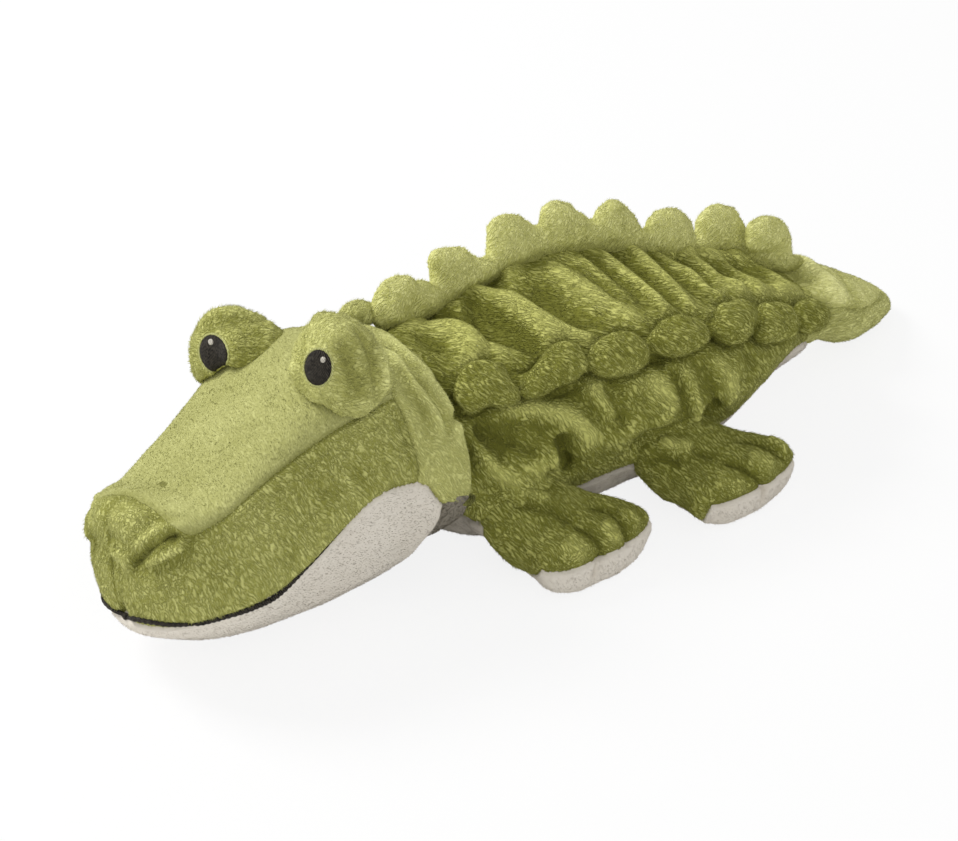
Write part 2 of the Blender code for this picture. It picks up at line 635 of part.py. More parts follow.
def head_filling():
    """Fibre inside the head's skin, with a ball-shaped hollow behind."""
    grid = floored(np.array([head_ring(share, HEAD_FILLING_STEPS, []) for share in HEAD_FILLING_SHARES]))
    grid = np.concatenate([inset(grid, HOOD_THICKNESS + FILLING_GAP)[:2], inset(grid, FABRIC + FILLING_GAP)[2:]])
    reach = NECK_RADIUS + JOINT_GAP
    first = HEAD_FILLING_SHARES[0] * HEAD_LENGTH
    shape = outline(list(between(HEAD_SHARES, 0.0) * np.array([HEAD_WIDTH / 2, HEAD_RISE])), HEAD_FILLING_STEPS)
    rings = []
    for angle in [math.acos(first / reach)] + CUP_ANGLES:
        wide, ahead = reach * math.sin(angle), reach * math.cos(angle)
        rings.append([on_head(point[0] / math.hypot(*point) * wide, ahead, point[1] / math.hypot(*point) * wide)
                      for point in shape])
    front = np.mean(grid[-1], axis=0) + HEAD_FORWARD * FABRIC
    return solid("head_stuffing", rings[::-1] + list(grid), (on_head(0.0, reach, 0.0), front), "fibre", neck_pivot)


head_filling()


# A closed copy of the head's shape, a little larger, cuts what is sewn onto it.
def head_room():
    """The head's shape grown by the clearance, as a cutter."""
    grown = head_outer + normals(head_outer) * 2 * CLEARANCE
    ends = [np.mean(grown[0], axis=0), np.mean(grown[-1], axis=0) + HEAD_FORWARD * CLEARANCE]
    return as_cutter(solid("head_room", list(grown), ends, "fibre", neck_pivot))


room = head_room()

# The eye domes: stuffed caps on the brow, each with a flat oval of black stitches and a white glint.
# Places are shares of half the head's width, its length and its rise.
DOME_PLACE_SHARES = {1: (0.68, 0.310, 0.86), -1: (0.68, 0.335, 0.80)}
DOME_RINGS = 9
DOME_COLUMNS = 16
EYE_PLACE_SHARES = {"left": (0.52, 0.44), "right": (-0.60, 0.43)}
EYE_RINGS = [1.0, 0.55]
EYE_COLUMNS = 14
GLINT_SIDE_SHARE = 0.22
GLINT_UP_SHARE = 0.5


def dome_place(sign):
    """The centre of an eye dome."""
    side, forward, up = DOME_PLACE_SHARES[sign]
    return on_head(sign * side * HEAD_WIDTH / 2, forward * HEAD_LENGTH, up * HEAD_RISE)


def dome_surface(sign, facing_to, across, rise, lift):
    """A place over a dome: turned from where the eye faces by two small arcs, and lifted off its surface."""
    sizes = np.array([DOME_WIDTH, DOME_DEPTH, DOME_HEIGHT]) / 2
    ahead = np.array([facing_to[0], math.sqrt(1.0 - facing_to[0] ** 2 - facing_to[1] ** 2), facing_to[1]])
    level = np.cross(ahead, UP)
    level /= np.linalg.norm(level)
    steep = np.cross(level, ahead)
    way = ahead + level * across / sizes[0] + steep * rise / sizes[2]
    side, forward, up = way / np.linalg.norm(way) * (sizes + lift)
    return dome_place(sign) + HEAD_SIDE * side + HEAD_FORWARD * forward + HEAD_UP * up


def eye_dome(name, sign):
    """An egg-shaped cap, cut by the head below."""
    rings = []
    for row in range(1, DOME_RINGS):
        lean = math.pi * row / DOME_RINGS
        ring = []
        for column in range(DOME_COLUMNS):
            angle = 2 * math.pi * column / DOME_COLUMNS
            ring.append(dome_place(sign)
                        + HEAD_SIDE * DOME_WIDTH / 2 * math.sin(lean) * math.cos(angle)
                        + HEAD_FORWARD * DOME_DEPTH / 2 * math.sin(lean) * math.sin(angle)
                        + HEAD_UP * DOME_HEIGHT / 2 * math.cos(lean))
        rings.append(ring)
    poles = (dome_place(sign) + HEAD_UP * DOME_HEIGHT / 2, dome_place(sign) - HEAD_UP * DOME_HEIGHT / 2)
    dome = solid(name, rings, poles, "green", neck_pivot)
    cut(dome, room)
    return dome


def stitched_oval(name, sign, facing_to, centre, size, lift, thickness, finish):
    """An oval patch that follows a dome's front: its back at lift, its face a thickness further out."""
    rings = []
    for level, ring_sizes in ((lift, EYE_RINGS[::-1]), (lift + thickness, EYE_RINGS)):
        for scale in ring_sizes:
            ring = []
            for column in range(EYE_COLUMNS):
                angle = 2 * math.pi * column / EYE_COLUMNS
                ring.append(dome_surface(sign, facing_to, centre[0] + size[0] / 2 * scale * math.cos(angle),
                                         centre[1] + size[1] / 2 * scale * math.sin(angle), level))
            rings.append(ring)
    poles = (dome_surface(sign, facing_to, *centre, lift), dome_surface(sign, facing_to, *centre, lift + thickness))
    return solid(name, rings, poles, finish, neck_pivot)


def eye(side_name, sign):
    """One eye: dome, black oval and glint."""
    eye_dome("eye_dome_" + side_name, sign)
    turn_share, lift_share = EYE_PLACE_SHARES[side_name]
    facing_to = (sign * turn_share, lift_share)
    stitched_oval("eye_" + side_name, sign, facing_to, (0.0, 0.0), (EYE_WIDTH, EYE_HEIGHT),
                  CLEARANCE, EYE_THICKNESS, "black")
    glint = (GLINT_SIDE_SHARE * EYE_WIDTH / 2, GLINT_UP_SHARE * EYE_HEIGHT / 2)
    stitched_oval("eye_glint_" + side_name, sign, facing_to, glint, (GLINT_WIDTH, GLINT_WIDTH),
                  CLEARANCE * 2 + EYE_THICKNESS, GLINT_THICKNESS, "glint")


eye("left", 1)
eye("right", -1)


# The nose is a raised pad over the fold at the snout's front, pinched in at two nostrils.
nose_rows = list(range(fold_row - 2, end_row - 2))
NOSE_SPAN = BROW_COLUMNS
NOSE_ROW_SHARES = [0.0, 0.55, 0.95, 1.0, 0.95, 0.75, 0.0]
NOSTRIL_PLACES = ((4, -2), (4, 3), (5, -2), (5, 3))


def nose_pad():
    """A cushion on the front of the top panel, following the head's surface underneath."""
    out = normals(head_outer)
    columns = list(range(-NOSE_SPAN, NOSE_SPAN + 2))
    layers = {}
    for layer in (0, 1):
        grid = np.zeros((len(NOSE_ROW_SHARES), len(columns), 3))
        for row, share in enumerate(NOSE_ROW_SHARES):
            for index, column in enumerate(columns):
                middle = (index - (len(columns) - 1) / 2) / ((len(columns) - 1) / 2)
                rise = NOSE_PAD_EDGE + NOSE_PAD_HEIGHT * share * max(1.0 - abs(middle) ** 4, 0.0)
                if (row, column) in NOSTRIL_PLACES:
                    rise = max(rise - NOSTRIL_DEPTH, NOSE_PAD_EDGE)
                place = head_outer[nose_rows[0] + row, column % head_size]
                away = out[nose_rows[0] + row, column % head_size]
                grid[row, index] = place + away * (2 * CLEARANCE + (rise if layer else 0.0))
        layers[layer] = grid
    chosen = cells(range(len(NOSE_ROW_SHARES) - 1), range(len(columns) - 1))
    return panel("nose_pad", layers[1], layers[0], chosen, "light", neck_pivot)


nose_pad()


# The mouth is a line of thick black stitches over the seam between cheek and jaw.
MOUTH_START_SHARE = 0.47
MOUTH_SIDES = 6
MOUTH_COLUMNS = (cheek_left[-1] + 1, cheek_right[-1] - 1)


def mouth_line():
    """A thin cord from one corner of the mouth, round the snout's front, to the other."""
    out = normals(head_outer)
    radius = MOUTH_CORD / 2
    rows = [row for row, share in enumerate(head_places) if share >= MOUTH_START_SHARE]
    path = []
    for side, order in enumerate((rows, rows[::-1])):
        first = MOUTH_COLUMNS[side]
        for row in order:
            seam = (head_outer[row, first] + head_outer[row, first + 1]) / 2
            away = out[row, first] + out[row, first + 1]
            path.append(seam + away / np.linalg.norm(away) * (radius + 2 * CLEARANCE))
    rings = []
    for index, place in enumerate(path):
        ahead = path[min(index + 1, len(path) - 1)] - path[max(index - 1, 0)]
        ahead = ahead / np.linalg.norm(ahead)
        side = np.cross(ahead, HEAD_UP)
        side /= np.linalg.norm(side)
        over = np.cross(side, ahead)
        size = radius if 0 < index < len(path) - 1 else radius / 2
        rings.append([place + (side * math.cos(2 * math.pi * step / MOUTH_SIDES)
                               + over * math.sin(2 * math.pi * step / MOUTH_SIDES)) * size
                      for step in range(MOUTH_SIDES)])
    return solid("mouth_line", rings, (path[0], path[-1]), "black", neck_pivot)


mouth_line()


# The scalloped strips stand on the seams between the back and the sides.
# Each row: where a scallop starts and ends along the torso, and its height, as shares.
SCALLOP_SHARES = [
    (0.050, 0.170, 0.90), (0.170, 0.305, 1.00), (0.305, 0.450, 1.00), (0.450, 0.585, 0.98), (0.585, 0.708, 0.95),
    (0.708, 0.832, 0.90), (0.832, 0.938, 0.84),
]
FAR_SCALLOP_SHARES = [
    (0.062, 0.187, 0.90), (0.187, 0.327, 0.94), (0.327, 0.477, 0.94), (0.477, 0.610, 0.94), (0.610, 0.728, 0.94),
    (0.728, 0.850, 0.94), (0.850, 0.955, 1.08), (0.955, 1.060, 1.05),
]
NAPE_SHARES = [(-0.04, 0.045, 0.62), (0.045, 0.125, 0.50)]
NAPE_SIDE_SHARE = 0.6
SCALLOP_ROWS = 6
SCALLOP_SIDES = 9
SCALLOP_LEAN = math.radians(8.0)


def scallop_strip(name, surface, scallops, finish, origin):
    """A strip of padded scallops on a seam; surface gives a place, its outward and its sideways direction."""
    profile = []
    for start, end, size in scallops:
        for row in range(SCALLOP_ROWS):
            across = 2 * row / SCALLOP_ROWS - 1
            round_share = math.sqrt(max(1.0 - across ** 2, 0.0))
            profile.append((start + (end - start) * row / SCALLOP_ROWS, round_share, size))
    profile.append((scallops[-1][1], 0.0, scallops[-1][2]))
    rings = []
    for share, round_share, size in profile:
        place, out, side = surface(share)
        lean = out * math.cos(SCALLOP_LEAN) + side * math.sin(SCALLOP_LEAN)
        tall = SCALLOP_NECK + (SCALLOP_HEIGHT * size - SCALLOP_NECK) * round_share
        thick = SCALLOP_NECK + (SCALLOP_THICKNESS * size - SCALLOP_NECK) * round_share
        ring = []
        for step in range(SCALLOP_SIDES):
            angle = 2 * math.pi * step / SCALLOP_SIDES
            point = side * thick / 2 * math.cos(angle) + lean * tall / 2 * (1 + math.sin(angle))
            low = CLEARANCE - np.dot(point, out)
            ring.append(place + point + out * max(low, 0.0))
        rings.append(ring)
    return solid(name, rings, (np.mean(rings[0], axis=0), np.mean(rings[-1], axis=0)), finish, origin)


def control(share, sign, index):
    """A control of the torso's outline, as a world place on one side."""
    point = between(TORSO_SHARES, min(share, 1.0))[index] * np.array([sign * TORSO_WIDTH / 2, TORSO_HEIGHT])
    point = settled(point, share)
    return np.array([point[0], NECK_Y + share * TORSO_LENGTH, point[1]])


def back_seam(sign):
    """The surface of the torso along one back seam."""
    def surface(share):
        step = SEAM_GAP / TORSO_LENGTH
        crown, place, flank = [control(share, sign, index) for index in (1, 2, 3)]
        side = (flank - crown) / np.linalg.norm(flank - crown)
        ahead = control(share + step, sign, 2) - place
        out = np.cross(side, ahead) * sign
        out /= np.linalg.norm(out)
        return place, out, side
    return surface


scallop_strip("scallop_strip_left", back_seam(1), SCALLOP_SHARES, "light", (0.0, 0.0, 0.0))
scallop_strip("scallop_strip_right", back_seam(-1), FAR_SCALLOP_SHARES, "light", (0.0, 0.0, 0.0))


def nape_place(share, sign):
    """A place on the head's top, to one side of its middle."""
    half = between(HEAD_SHARES, share) * np.array([HEAD_WIDTH / 2, HEAD_RISE])
    side, up = spline_point([half[1] * np.array([-1.0, 1.0]), half[0], half[1], half[2]], NAPE_SIDE_SHARE)
    return on_head(sign * side, share * HEAD_LENGTH, up)


def nape_seam(sign):
    """The surface of the head along one side of its top, behind the dome."""
    def surface(share):
        place = nape_place(share, sign)
        ahead = nape_place(share + SEAM_GAP / HEAD_LENGTH, sign) - place
        level = place - on_head(0.0, share * HEAD_LENGTH, between(HEAD_SHARES, share)[0][1] * HEAD_RISE)
        side = level / np.linalg.norm(level)
        out = np.cross(side, ahead) * -sign
        return place, out / np.linalg.norm(out), side
    return surface


scallop_strip("nape_scallops_right", nape_seam(-1), NAPE_SHARES, "light", neck_pivot)


# The legs: each has a root that is a drum about an axis along the torso, and a paw that spreads on the floor.
# Each row: place along the reach, half width, top and bottom about the axis, and how far back the paw slants,
# as shares of the reach, of half the leg's width, of the axis's height over the floor and of the slant.
LEG_ROOT_SHARE = LEG_ROOT_RADIUS / LEG_AXIS_HEIGHT
LEG_SHARES = [
    (0.00, 0.64, LEG_ROOT_SHARE, -LEG_ROOT_SHARE, 0.00),
    (0.21, 0.70, 0.450, -0.632, 0.05),
    (0.42, 0.80, 0.270, -1.026, 0.55),
    (0.63, 0.92, 0.160, -1.030, 1.00),
    (0.80, 0.92, 0.080, -1.030, 1.00),
    (0.90, 0.78, -0.060, -1.020, 0.85),
    (0.97, 0.48, -0.260, -0.950, 0.70),
]
SOLE_START_SHARE = 0.32
LEG_ROW_SHARES = [0.06, 0.21, SOLE_START_SHARE, 0.42, 0.53, 0.63, 0.72, 0.80, 0.90, 0.97, 1.0]
LEG_FILLING_SHARES = [0.04, 0.21, 0.32, 0.42, 0.63, 0.80, 0.90, 0.97]
LEG_DRUM_ANGLES = [math.radians(angle) for angle in (15.0, 38.0, 62.0, 90.0)]
SOLE_HEIGHT = 0.009
LEG_UPPER_COLUMNS = 10
LEG_LOWER_COLUMNS = 6
LEG_SQUARENESS = 2.6
BLUNT_START_SHARE = 0.63
DRUM_SHARE = 0.64
LEG_ROOM_SHARE = 0.74
LEG_ALONG_SHARES = {"front": 0.135, "rear": 0.489}
SLOT_ARC = [math.radians(angle) for angle in (118.0, 148.0, 180.0, 212.0, 236.0, 260.0)]
SLOT_FLARE_SHARES = [(0.18, -0.75), (0.37, -1.30), (0.60, -1.30), (0.60, 0.70), (0.37, 0.70), (0.10, 0.62)]


def leg_axis(sign, along):
    """The middle of a leg's axis."""
    return np.array([sign * LEG_AXIS_SIDE, NECK_Y + along * TORSO_LENGTH, LEG_AXIS_HEIGHT])


def leg_size(share, inward):
    """Half the width, the top and the bottom of a leg's section at a place along its reach."""
    half, top, bottom, slant = between(LEG_SHARES, min(share, LEG_SHARES[-1][0]))
    return half * LEG_WIDTH / 2 - inward, top * LEG_AXIS_HEIGHT - inward, bottom * LEG_AXIS_HEIGHT + inward


def seam_turn(share, inward):
    """The angle at which the sole's seam lies in a section, as it starts for all that is nearer the body."""
    half, top, bottom = leg_size(max(share, SOLE_START_SHARE), inward)
    lean = min(max((2 * (SOLE_HEIGHT - LEG_AXIS_HEIGHT) - top - bottom) / (top - bottom), -0.95), 0.95)
    return math.copysign(math.asin(abs(lean) ** (LEG_SQUARENESS / 2)), lean)


def leg_section(half, top, bottom, start):
    """A squarish section as points along and up: from seam to seam over the top, then underneath."""
    middle, high = (top + bottom) / 2, (top - bottom) / 2
    power = 2 / LEG_SQUARENESS
    points = []
    for count, first, span, edge in ((LEG_UPPER_COLUMNS, start, math.pi - 2 * start, SEAM_GAP / 2),
                                     (LEG_LOWER_COLUMNS, math.pi - start, math.pi + 2 * start, -SEAM_GAP / 2)):
        for column in range(count + 1):
            turn = first + span * column / count
            along = math.copysign(abs(math.cos(turn)) ** power, math.cos(turn)) * half
            rise = math.copysign(abs(math.sin(turn)) ** power, math.sin(turn)) * high + middle
            if column in (0, count) or high == 0:
                rise += edge
            points.append((along, rise))
    return points


def leg_ring(axis, share, inward):
    """A leg's ring at a place along its reach, moved inwards from the skin's outside."""
    half, top, bottom = leg_size(share, inward)
    if share >= 1.0:
        top = bottom = SOLE_HEIGHT - LEG_AXIS_HEIGHT
    reach = share * LEG_REACH - inward * max(share - BLUNT_START_SHARE, 0.0) / (1.0 - BLUNT_START_SHARE)
    slant = LEG_SLANT * between(LEG_SHARES, min(share, LEG_SHARES[-1][0]))[3]
    sign = math.copysign(1.0, axis[0])
    ring = [axis + np.array([sign * reach, slant + along, rise])
            for along, rise in leg_section(half, top, bottom, seam_turn(share, inward))]
    return [np.array([point[0], point[1], max(point[2], inward)]) for point in ring]


def leg_filling(name, axis):
    """Fibre in a leg, bare on the drum that turns inside the torso."""
    depth = FABRIC + FILLING_GAP
    sign = math.copysign(1.0, axis[0])
    rings = []
    for angle in LEG_DRUM_ANGLES:
        high = LEG_ROOT_RADIUS * math.sin(angle)
        rings.append([axis + np.array([-sign * LEG_ROOT_RADIUS * math.cos(angle), along, rise])
                      for along, rise in leg_section(DRUM_SHARE * LEG_WIDTH / 2, high, -high, seam_turn(0.0, 0.0))])
    rings += [leg_ring(axis, share, depth) for share in LEG_FILLING_SHARES]
    root = axis - np.array([sign * LEG_ROOT_RADIUS, 0.0, 0.0])
    tip = np.mean(rings[-1], axis=0) + np.array([sign * FABRIC / 2, 0.0, 0.0])
    return solid(name, rings, (root, tip), "fibre", tuple(axis))


def leg(place_name, side_name, sign):
    """One leg: green skin, white sole and filling."""
    axis = leg_axis(sign, LEG_ALONG_SHARES[place_name])
    gap = SEAM_GAP / LEG_REACH / 2
    shares = []
    for share in LEG_ROW_SHARES:
        shares += [share - gap, share + gap] if share == SOLE_START_SHARE else [share]
    outer = np.array([leg_ring(axis, share, 0.0) for share in shares])
    inner = np.array([leg_ring(axis, share, FABRIC) for share in shares])
    name = place_name + "_" + side_name
    sole_row, rows = shares.index(SOLE_START_SHARE + gap), len(shares) - 1
    lower = list(range(LEG_UPPER_COLUMNS + 1, LEG_UPPER_COLUMNS + 1 + LEG_LOWER_COLUMNS))
    ring_count = outer.shape[1]
    skin = cells(range(sole_row - 1), range(ring_count)) + cells(range(sole_row - 1, rows), range(LEG_UPPER_COLUMNS))
    panel("leg_" + name, outer, inner, skin, "green", tuple(axis))
    panel("sole_" + name, outer, inner, cells(range(sole_row, rows), lower), "white", tuple(axis))
    leg_filling("leg_stuffing_" + name, axis)
    return leg_slot("slot_" + name, axis, sign)


def leg_slot(name, axis, sign):
    """The room in the torso where a leg's root turns and its top lifts."""
    radius, side = LEG_ROOT_RADIUS + SLOT_ROOM, LEG_ROOM_SHARE * LEG_WIDTH / 2
    profile = [(radius * math.cos(angle), radius * math.sin(angle)) for angle in SLOT_ARC]
    profile += [(out * LEG_REACH, rise * LEG_AXIS_HEIGHT) for out, rise in SLOT_FLARE_SHARES]
    rings = [[axis + np.array([sign * out, along, rise]) for out, rise in profile] for along in (-side, side)]
    points = [point for ring in rings for point in ring]
    count = len(profile)
    faces = [(index, (index + 1) % count, count + (index + 1) % count, count + index) for index in range(count)]
    faces += [tuple(reversed(range(count))), tuple(range(count, 2 * count))]
    return as_cutter(new_object(name, points, facing(points, faces), "fibre", tuple(axis)))


for side_name, sign, side_panel in (("left", 1, side_left), ("right", -1, side_right)):
    for place_name in ("front", "rear"):
        slot = leg(place_name, side_name, sign)
        cut(side_panel, slot)
        cut(stuffing, slot)
        cut(belly_panel, slot)
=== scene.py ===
"""The looks of a stuffed plush crocodile: short pile over soft padding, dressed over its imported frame."""
import json
import math

import bpy
import numpy as np
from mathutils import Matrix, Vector
from mathutils.bvhtree import BVHTree


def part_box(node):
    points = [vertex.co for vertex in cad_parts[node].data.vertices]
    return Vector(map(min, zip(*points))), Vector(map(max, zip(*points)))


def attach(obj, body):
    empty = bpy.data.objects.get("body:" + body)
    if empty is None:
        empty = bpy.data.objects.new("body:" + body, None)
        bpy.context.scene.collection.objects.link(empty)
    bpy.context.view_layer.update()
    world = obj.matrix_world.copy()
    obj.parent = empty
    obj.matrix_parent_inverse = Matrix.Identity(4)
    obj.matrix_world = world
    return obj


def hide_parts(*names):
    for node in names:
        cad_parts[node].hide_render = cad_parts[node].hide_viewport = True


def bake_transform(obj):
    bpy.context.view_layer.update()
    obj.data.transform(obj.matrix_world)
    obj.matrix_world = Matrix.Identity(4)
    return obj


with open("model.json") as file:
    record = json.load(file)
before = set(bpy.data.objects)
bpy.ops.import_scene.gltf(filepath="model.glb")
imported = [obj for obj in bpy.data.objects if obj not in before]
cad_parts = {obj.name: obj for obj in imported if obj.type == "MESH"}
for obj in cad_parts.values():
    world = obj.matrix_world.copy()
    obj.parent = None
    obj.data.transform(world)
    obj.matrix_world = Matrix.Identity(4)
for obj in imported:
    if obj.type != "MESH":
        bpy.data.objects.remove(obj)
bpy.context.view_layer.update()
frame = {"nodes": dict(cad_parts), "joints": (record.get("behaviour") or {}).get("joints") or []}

MM = 0.001

# The view and the light: a camera above the crocodile's left shoulder, a pale floor,
# and soft lamps in a white room. The floor and the lamps aren't part of the toy.
AZIMUTH = math.radians(55.0)
ELEVATION = math.radians(35.0)
CAMERA_DISTANCE = 0.8
CAMERA_AIM = Vector((0.0, -0.0252, 0.030))
FOCAL_PIXELS = 2280.0
PHOTO_WIDTH = 958
PHOTO_HEIGHT = 841
SENSOR = 36.0

towards_camera = Vector((math.sin(AZIMUTH) * math.cos(ELEVATION), -math.cos(AZIMUTH) * math.cos(ELEVATION),
                         math.sin(ELEVATION)))
camera_place = CAMERA_AIM + towards_camera * CAMERA_DISTANCE
view_turn = towards_camera.to_track_quat("Z", "Y")
bpy.ops.object.camera_add(location=camera_place, rotation=view_turn.to_euler())
camera = bpy.context.object
camera.data.sensor_width = SENSOR
camera.data.lens = SENSOR * FOCAL_PIXELS / PHOTO_WIDTH
camera.data.clip_end = 20.0
bpy.context.scene.camera = camera
bpy.context.scene.view_settings.view_transform = "Standard"


def ray_through(pixel):
    """The way from the camera through one pixel of its picture."""
    across = (pixel[0] - PHOTO_WIDTH / 2) / FOCAL_PIXELS
    up = (PHOTO_HEIGHT / 2 - pixel[1]) / FOCAL_PIXELS
    return (view_turn @ Vector((across, up, -1.0))).normalized()


def pixels_of(points):
    """Where points show in the camera's picture."""
    turn = np.array(view_turn.to_matrix())
    seen = (points - np.array(camera_place)) @ turn
    return np.stack([PHOTO_WIDTH / 2 - FOCAL_PIXELS * seen[:, 0] / seen[:, 2],
                     PHOTO_HEIGHT / 2 + FOCAL_PIXELS * seen[:, 1] / seen[:, 2]], axis=1)


bpy.ops.mesh.primitive_plane_add(size=6.0, location=(0.0, 0.0, -0.2 * MM))
floor = bpy.context.object
floor.name = "floor"
paper = bpy.data.materials.new("white_paper")
paper.use_nodes = True
nodes, links = paper.node_tree.nodes, paper.node_tree.links
paper_surface = nodes["Principled BSDF"]
paper_surface.inputs["Base Color"].default_value = (0.93, 0.93, 0.93, 1.0)
paper_surface.inputs["Roughness"].default_value = 0.9
paper_surface.inputs["Specular IOR Level"].default_value = 0.1
glow = nodes.new("ShaderNodeEmission")
glow.inputs["Color"].default_value = (1.0, 1.0, 1.0, 1.0)
light_path = nodes.new("ShaderNodeLightPath")
glow_share = nodes.new("ShaderNodeMath")
glow_share.operation = "MULTIPLY"
glow_share.inputs[1].default_value = 0.85
paper_mix = nodes.new("ShaderNodeMixShader")
links.new(light_path.outputs["Is Camera Ray"], glow_share.inputs[0])
links.new(glow_share.outputs[0], paper_mix.inputs[0])
links.new(paper_surface.outputs[0], paper_mix.inputs[1])
links.new(glow.outputs[0], paper_mix.inputs[2])
links.new(paper_mix.outputs[0], nodes["Material Output"].inputs["Surface"])
floor.data.materials.append(paper)

ROOM_LIGHT = 0.60
room = bpy.data.worlds.new("white_room")
room.use_nodes = True
bpy.context.scene.world = room
nodes, links = room.node_tree.nodes, room.node_tree.links
light_path = nodes.new("ShaderNodeLightPath")
strength = nodes.new("ShaderNodeMapRange")
strength.inputs["To Min"].default_value = ROOM_LIGHT
strength.inputs["To Max"].default_value = 1.0
links.new(light_path.outputs["Is Camera Ray"], strength.inputs["Value"])
links.new(strength.outputs["Result"], nodes["Background"].inputs["Strength"])
nodes["Background"].inputs["Color"].default_value = (1.0, 1.0, 1.0, 1.0)

# Each lamp: its direction from the toy, distance, size and power.
for lamp_name, way, away, lamp_size, power in (
    ("key_lamp", (-0.75, -0.55, 1.0), 1.3, 0.45, 10.0),
    ("fill_lamp", (0.9, -0.3, 0.6), 1.5, 1.0, 2.6),
):
    direction = Vector(way).normalized()
    bpy.ops.object.light_add(type="AREA", location=direction * away,
                             rotation=direction.to_track_quat("Z", "Y").to_euler())
    lamp = bpy.context.object
    lamp.name = lamp_name
    lamp.data.size = lamp_size
    lamp.data.energy = power


# The stuffed body and tail: one skin over loose filling, from the neck's ball to the blunt tip.
# Its panels are cut from short pile cloth, green above and white below, and meet at sewn seams.
# The cloth is a size too big for its filling, so it lies in folds across the back and down the sides.
def select_only(*pieces):
    """Selects these objects alone, with the first one active."""
    bpy.ops.object.select_all(action="DESELECT")
    for piece in pieces:
        piece.select_set(True)
    bpy.context.view_layer.objects.active = pieces[0]


def joined_copy(name, node_names):
    """One new object made of copies of some of the frame's solids."""
    copies = []
    for node_name in node_names:
        piece = bpy.data.objects.new(name, frame["nodes"][node_name].data.copy())
        bpy.context.collection.objects.link(piece)
        copies.append(piece)
    select_only(*copies)
    if len(copies) > 1:
        bpy.ops.object.join()
    piece = bpy.context.object
    piece.name = name
    piece.data.materials.clear()
    return piece


def apply_modifier(piece, kind, **settings):
    """Adds one modifier and applies it."""
    select_only(piece)
    modifier = piece.modifiers.new(kind.lower(), kind)
    for key, value in settings.items():
        setattr(modifier, key, value)
    bpy.ops.object.modifier_apply(modifier=modifier.name)


def largest_shell(piece):
    """Keeps the biggest closed surface of a piece, without what is hidden inside it."""
    select_only(piece)
    bpy.ops.mesh.separate(type="LOOSE")
    shells = sorted(bpy.context.selected_objects, key=lambda shell: -sum(shell.dimensions))
    for shell in shells[1:]:
        bpy.data.objects.remove(shell)
    return shells[0]


def places(piece):
    """The points of a mesh."""
    points = np.empty(len(piece.data.vertices) * 3, np.float32)
    piece.data.vertices.foreach_get("co", points)
    return points.reshape(-1, 3).astype(float)


def set_places(piece, points):
    """Moves all the points of a mesh."""
    piece.data.vertices.foreach_set("co", np.ascontiguousarray(points, np.float32).ravel())
    piece.data.update()


def outward(piece):
    """The outward directions at the points of a mesh."""
    ways = np.empty(len(piece.data.vertices) * 3, np.float32)
    piece.data.vertex_normals.foreach_get("vector", ways)
    return ways.reshape(-1, 3).astype(float)


def edge_pairs(piece):
    """The two ends of each edge."""
    pairs = np.empty(len(piece.data.edges) * 2, np.int32)
    piece.data.edges.foreach_get("vertices", pairs)
    return pairs.reshape(-1, 2)


def quad_corners(piece):
    """The four corners of each face of a mesh of quads."""
    corners = np.empty(len(piece.data.loops), np.int32)
    piece.data.loops.foreach_get("vertex_index", corners)
    return corners.reshape(-1, 4)


def averaged(values, pairs, times, share=0.5):
    """Values at the points of a mesh, each moved towards the mean of its neighbours a few times."""
    count = len(values)
    flat = values.reshape(count, -1).copy()
    around = np.bincount(pairs.ravel(), minlength=count)[:, None]
    for _ in range(times):
        total = np.empty_like(flat)
        for column in range(flat.shape[1]):
            total[:, column] = (np.bincount(pairs[:, 0], flat[pairs[:, 1], column], count)
                                + np.bincount(pairs[:, 1], flat[pairs[:, 0], column], count))
        flat += (total / around - flat) * share
    return flat.reshape(values.shape)


def smoothed(piece, times):
    """Irons out a solid's facets without shrinking it."""
    pairs = edge_pairs(piece)
    points = places(piece)
    for _ in range(times):
        points = averaged(points, pairs, 1, 0.5)
        points = averaged(points, pairs, 1, -0.52)
    set_places(piece, averaged(points, pairs, 1, 0.5))


def ripple(points, size, seed):
    """Smooth noise between -1 and 1 whose lumps have the given size."""
    cells = points / size + 0.37 * seed
    base = np.floor(cells).astype(np.int64)
    part = cells - base
    part = part * part * (3 - 2 * part)
    total = np.zeros(len(points))
    for corner in range(8):
        step = np.array([corner & 1, corner >> 1 & 1, corner >> 2 & 1])
        key = ((base + step) * np.array([73856093, 19349663, 83492791])).sum(1) + seed * 6542989
        key = (key ^ (key >> 13)) * 1274126177 & 0xFFFFFFFF
        key = (key ^ (key >> 15)) * 2246822519 & 0xFFFFFFFF
        value = (key >> 8 & 0xFFFF) / 32767.5 - 1.0
        total += np.prod(np.where(step, part, 1 - part), axis=1) * value
    return total


def panel_distances(piece, panels):
    """How far each point of a skin lies from each of its cloth panels."""
    points = places(piece)
    fields = []
    for panel in panels:
        mesh = frame["nodes"][panel].data
        tree = BVHTree.FromPolygons([vertex.co for vertex in mesh.vertices],
                                    [tuple(face.vertices) for face in mesh.polygons])
        fields.append([tree.find_nearest(Vector(point))[3] for point in points])
    return averaged(np.array(fields).T, edge_pairs(piece), 6)


def set_attribute(piece, name, values):
    """Keeps one number, or three, at each point of a mesh."""
    kind, field = ("FLOAT", "value") if np.ndim(values) == 1 else ("FLOAT_VECTOR", "vector")
    attribute = piece.data.attributes.get(name) or piece.data.attributes.new(name, kind, "POINT")
    attribute.data.foreach_set(field, np.ascontiguousarray(values, np.float32).ravel())


def get_attribute(piece, name):
    """The numbers kept at the points of a mesh."""
    values = np.empty(len(piece.data.vertices), np.float32)
    piece.data.attributes[name].data.foreach_get("value", values)
    return values.astype(float)


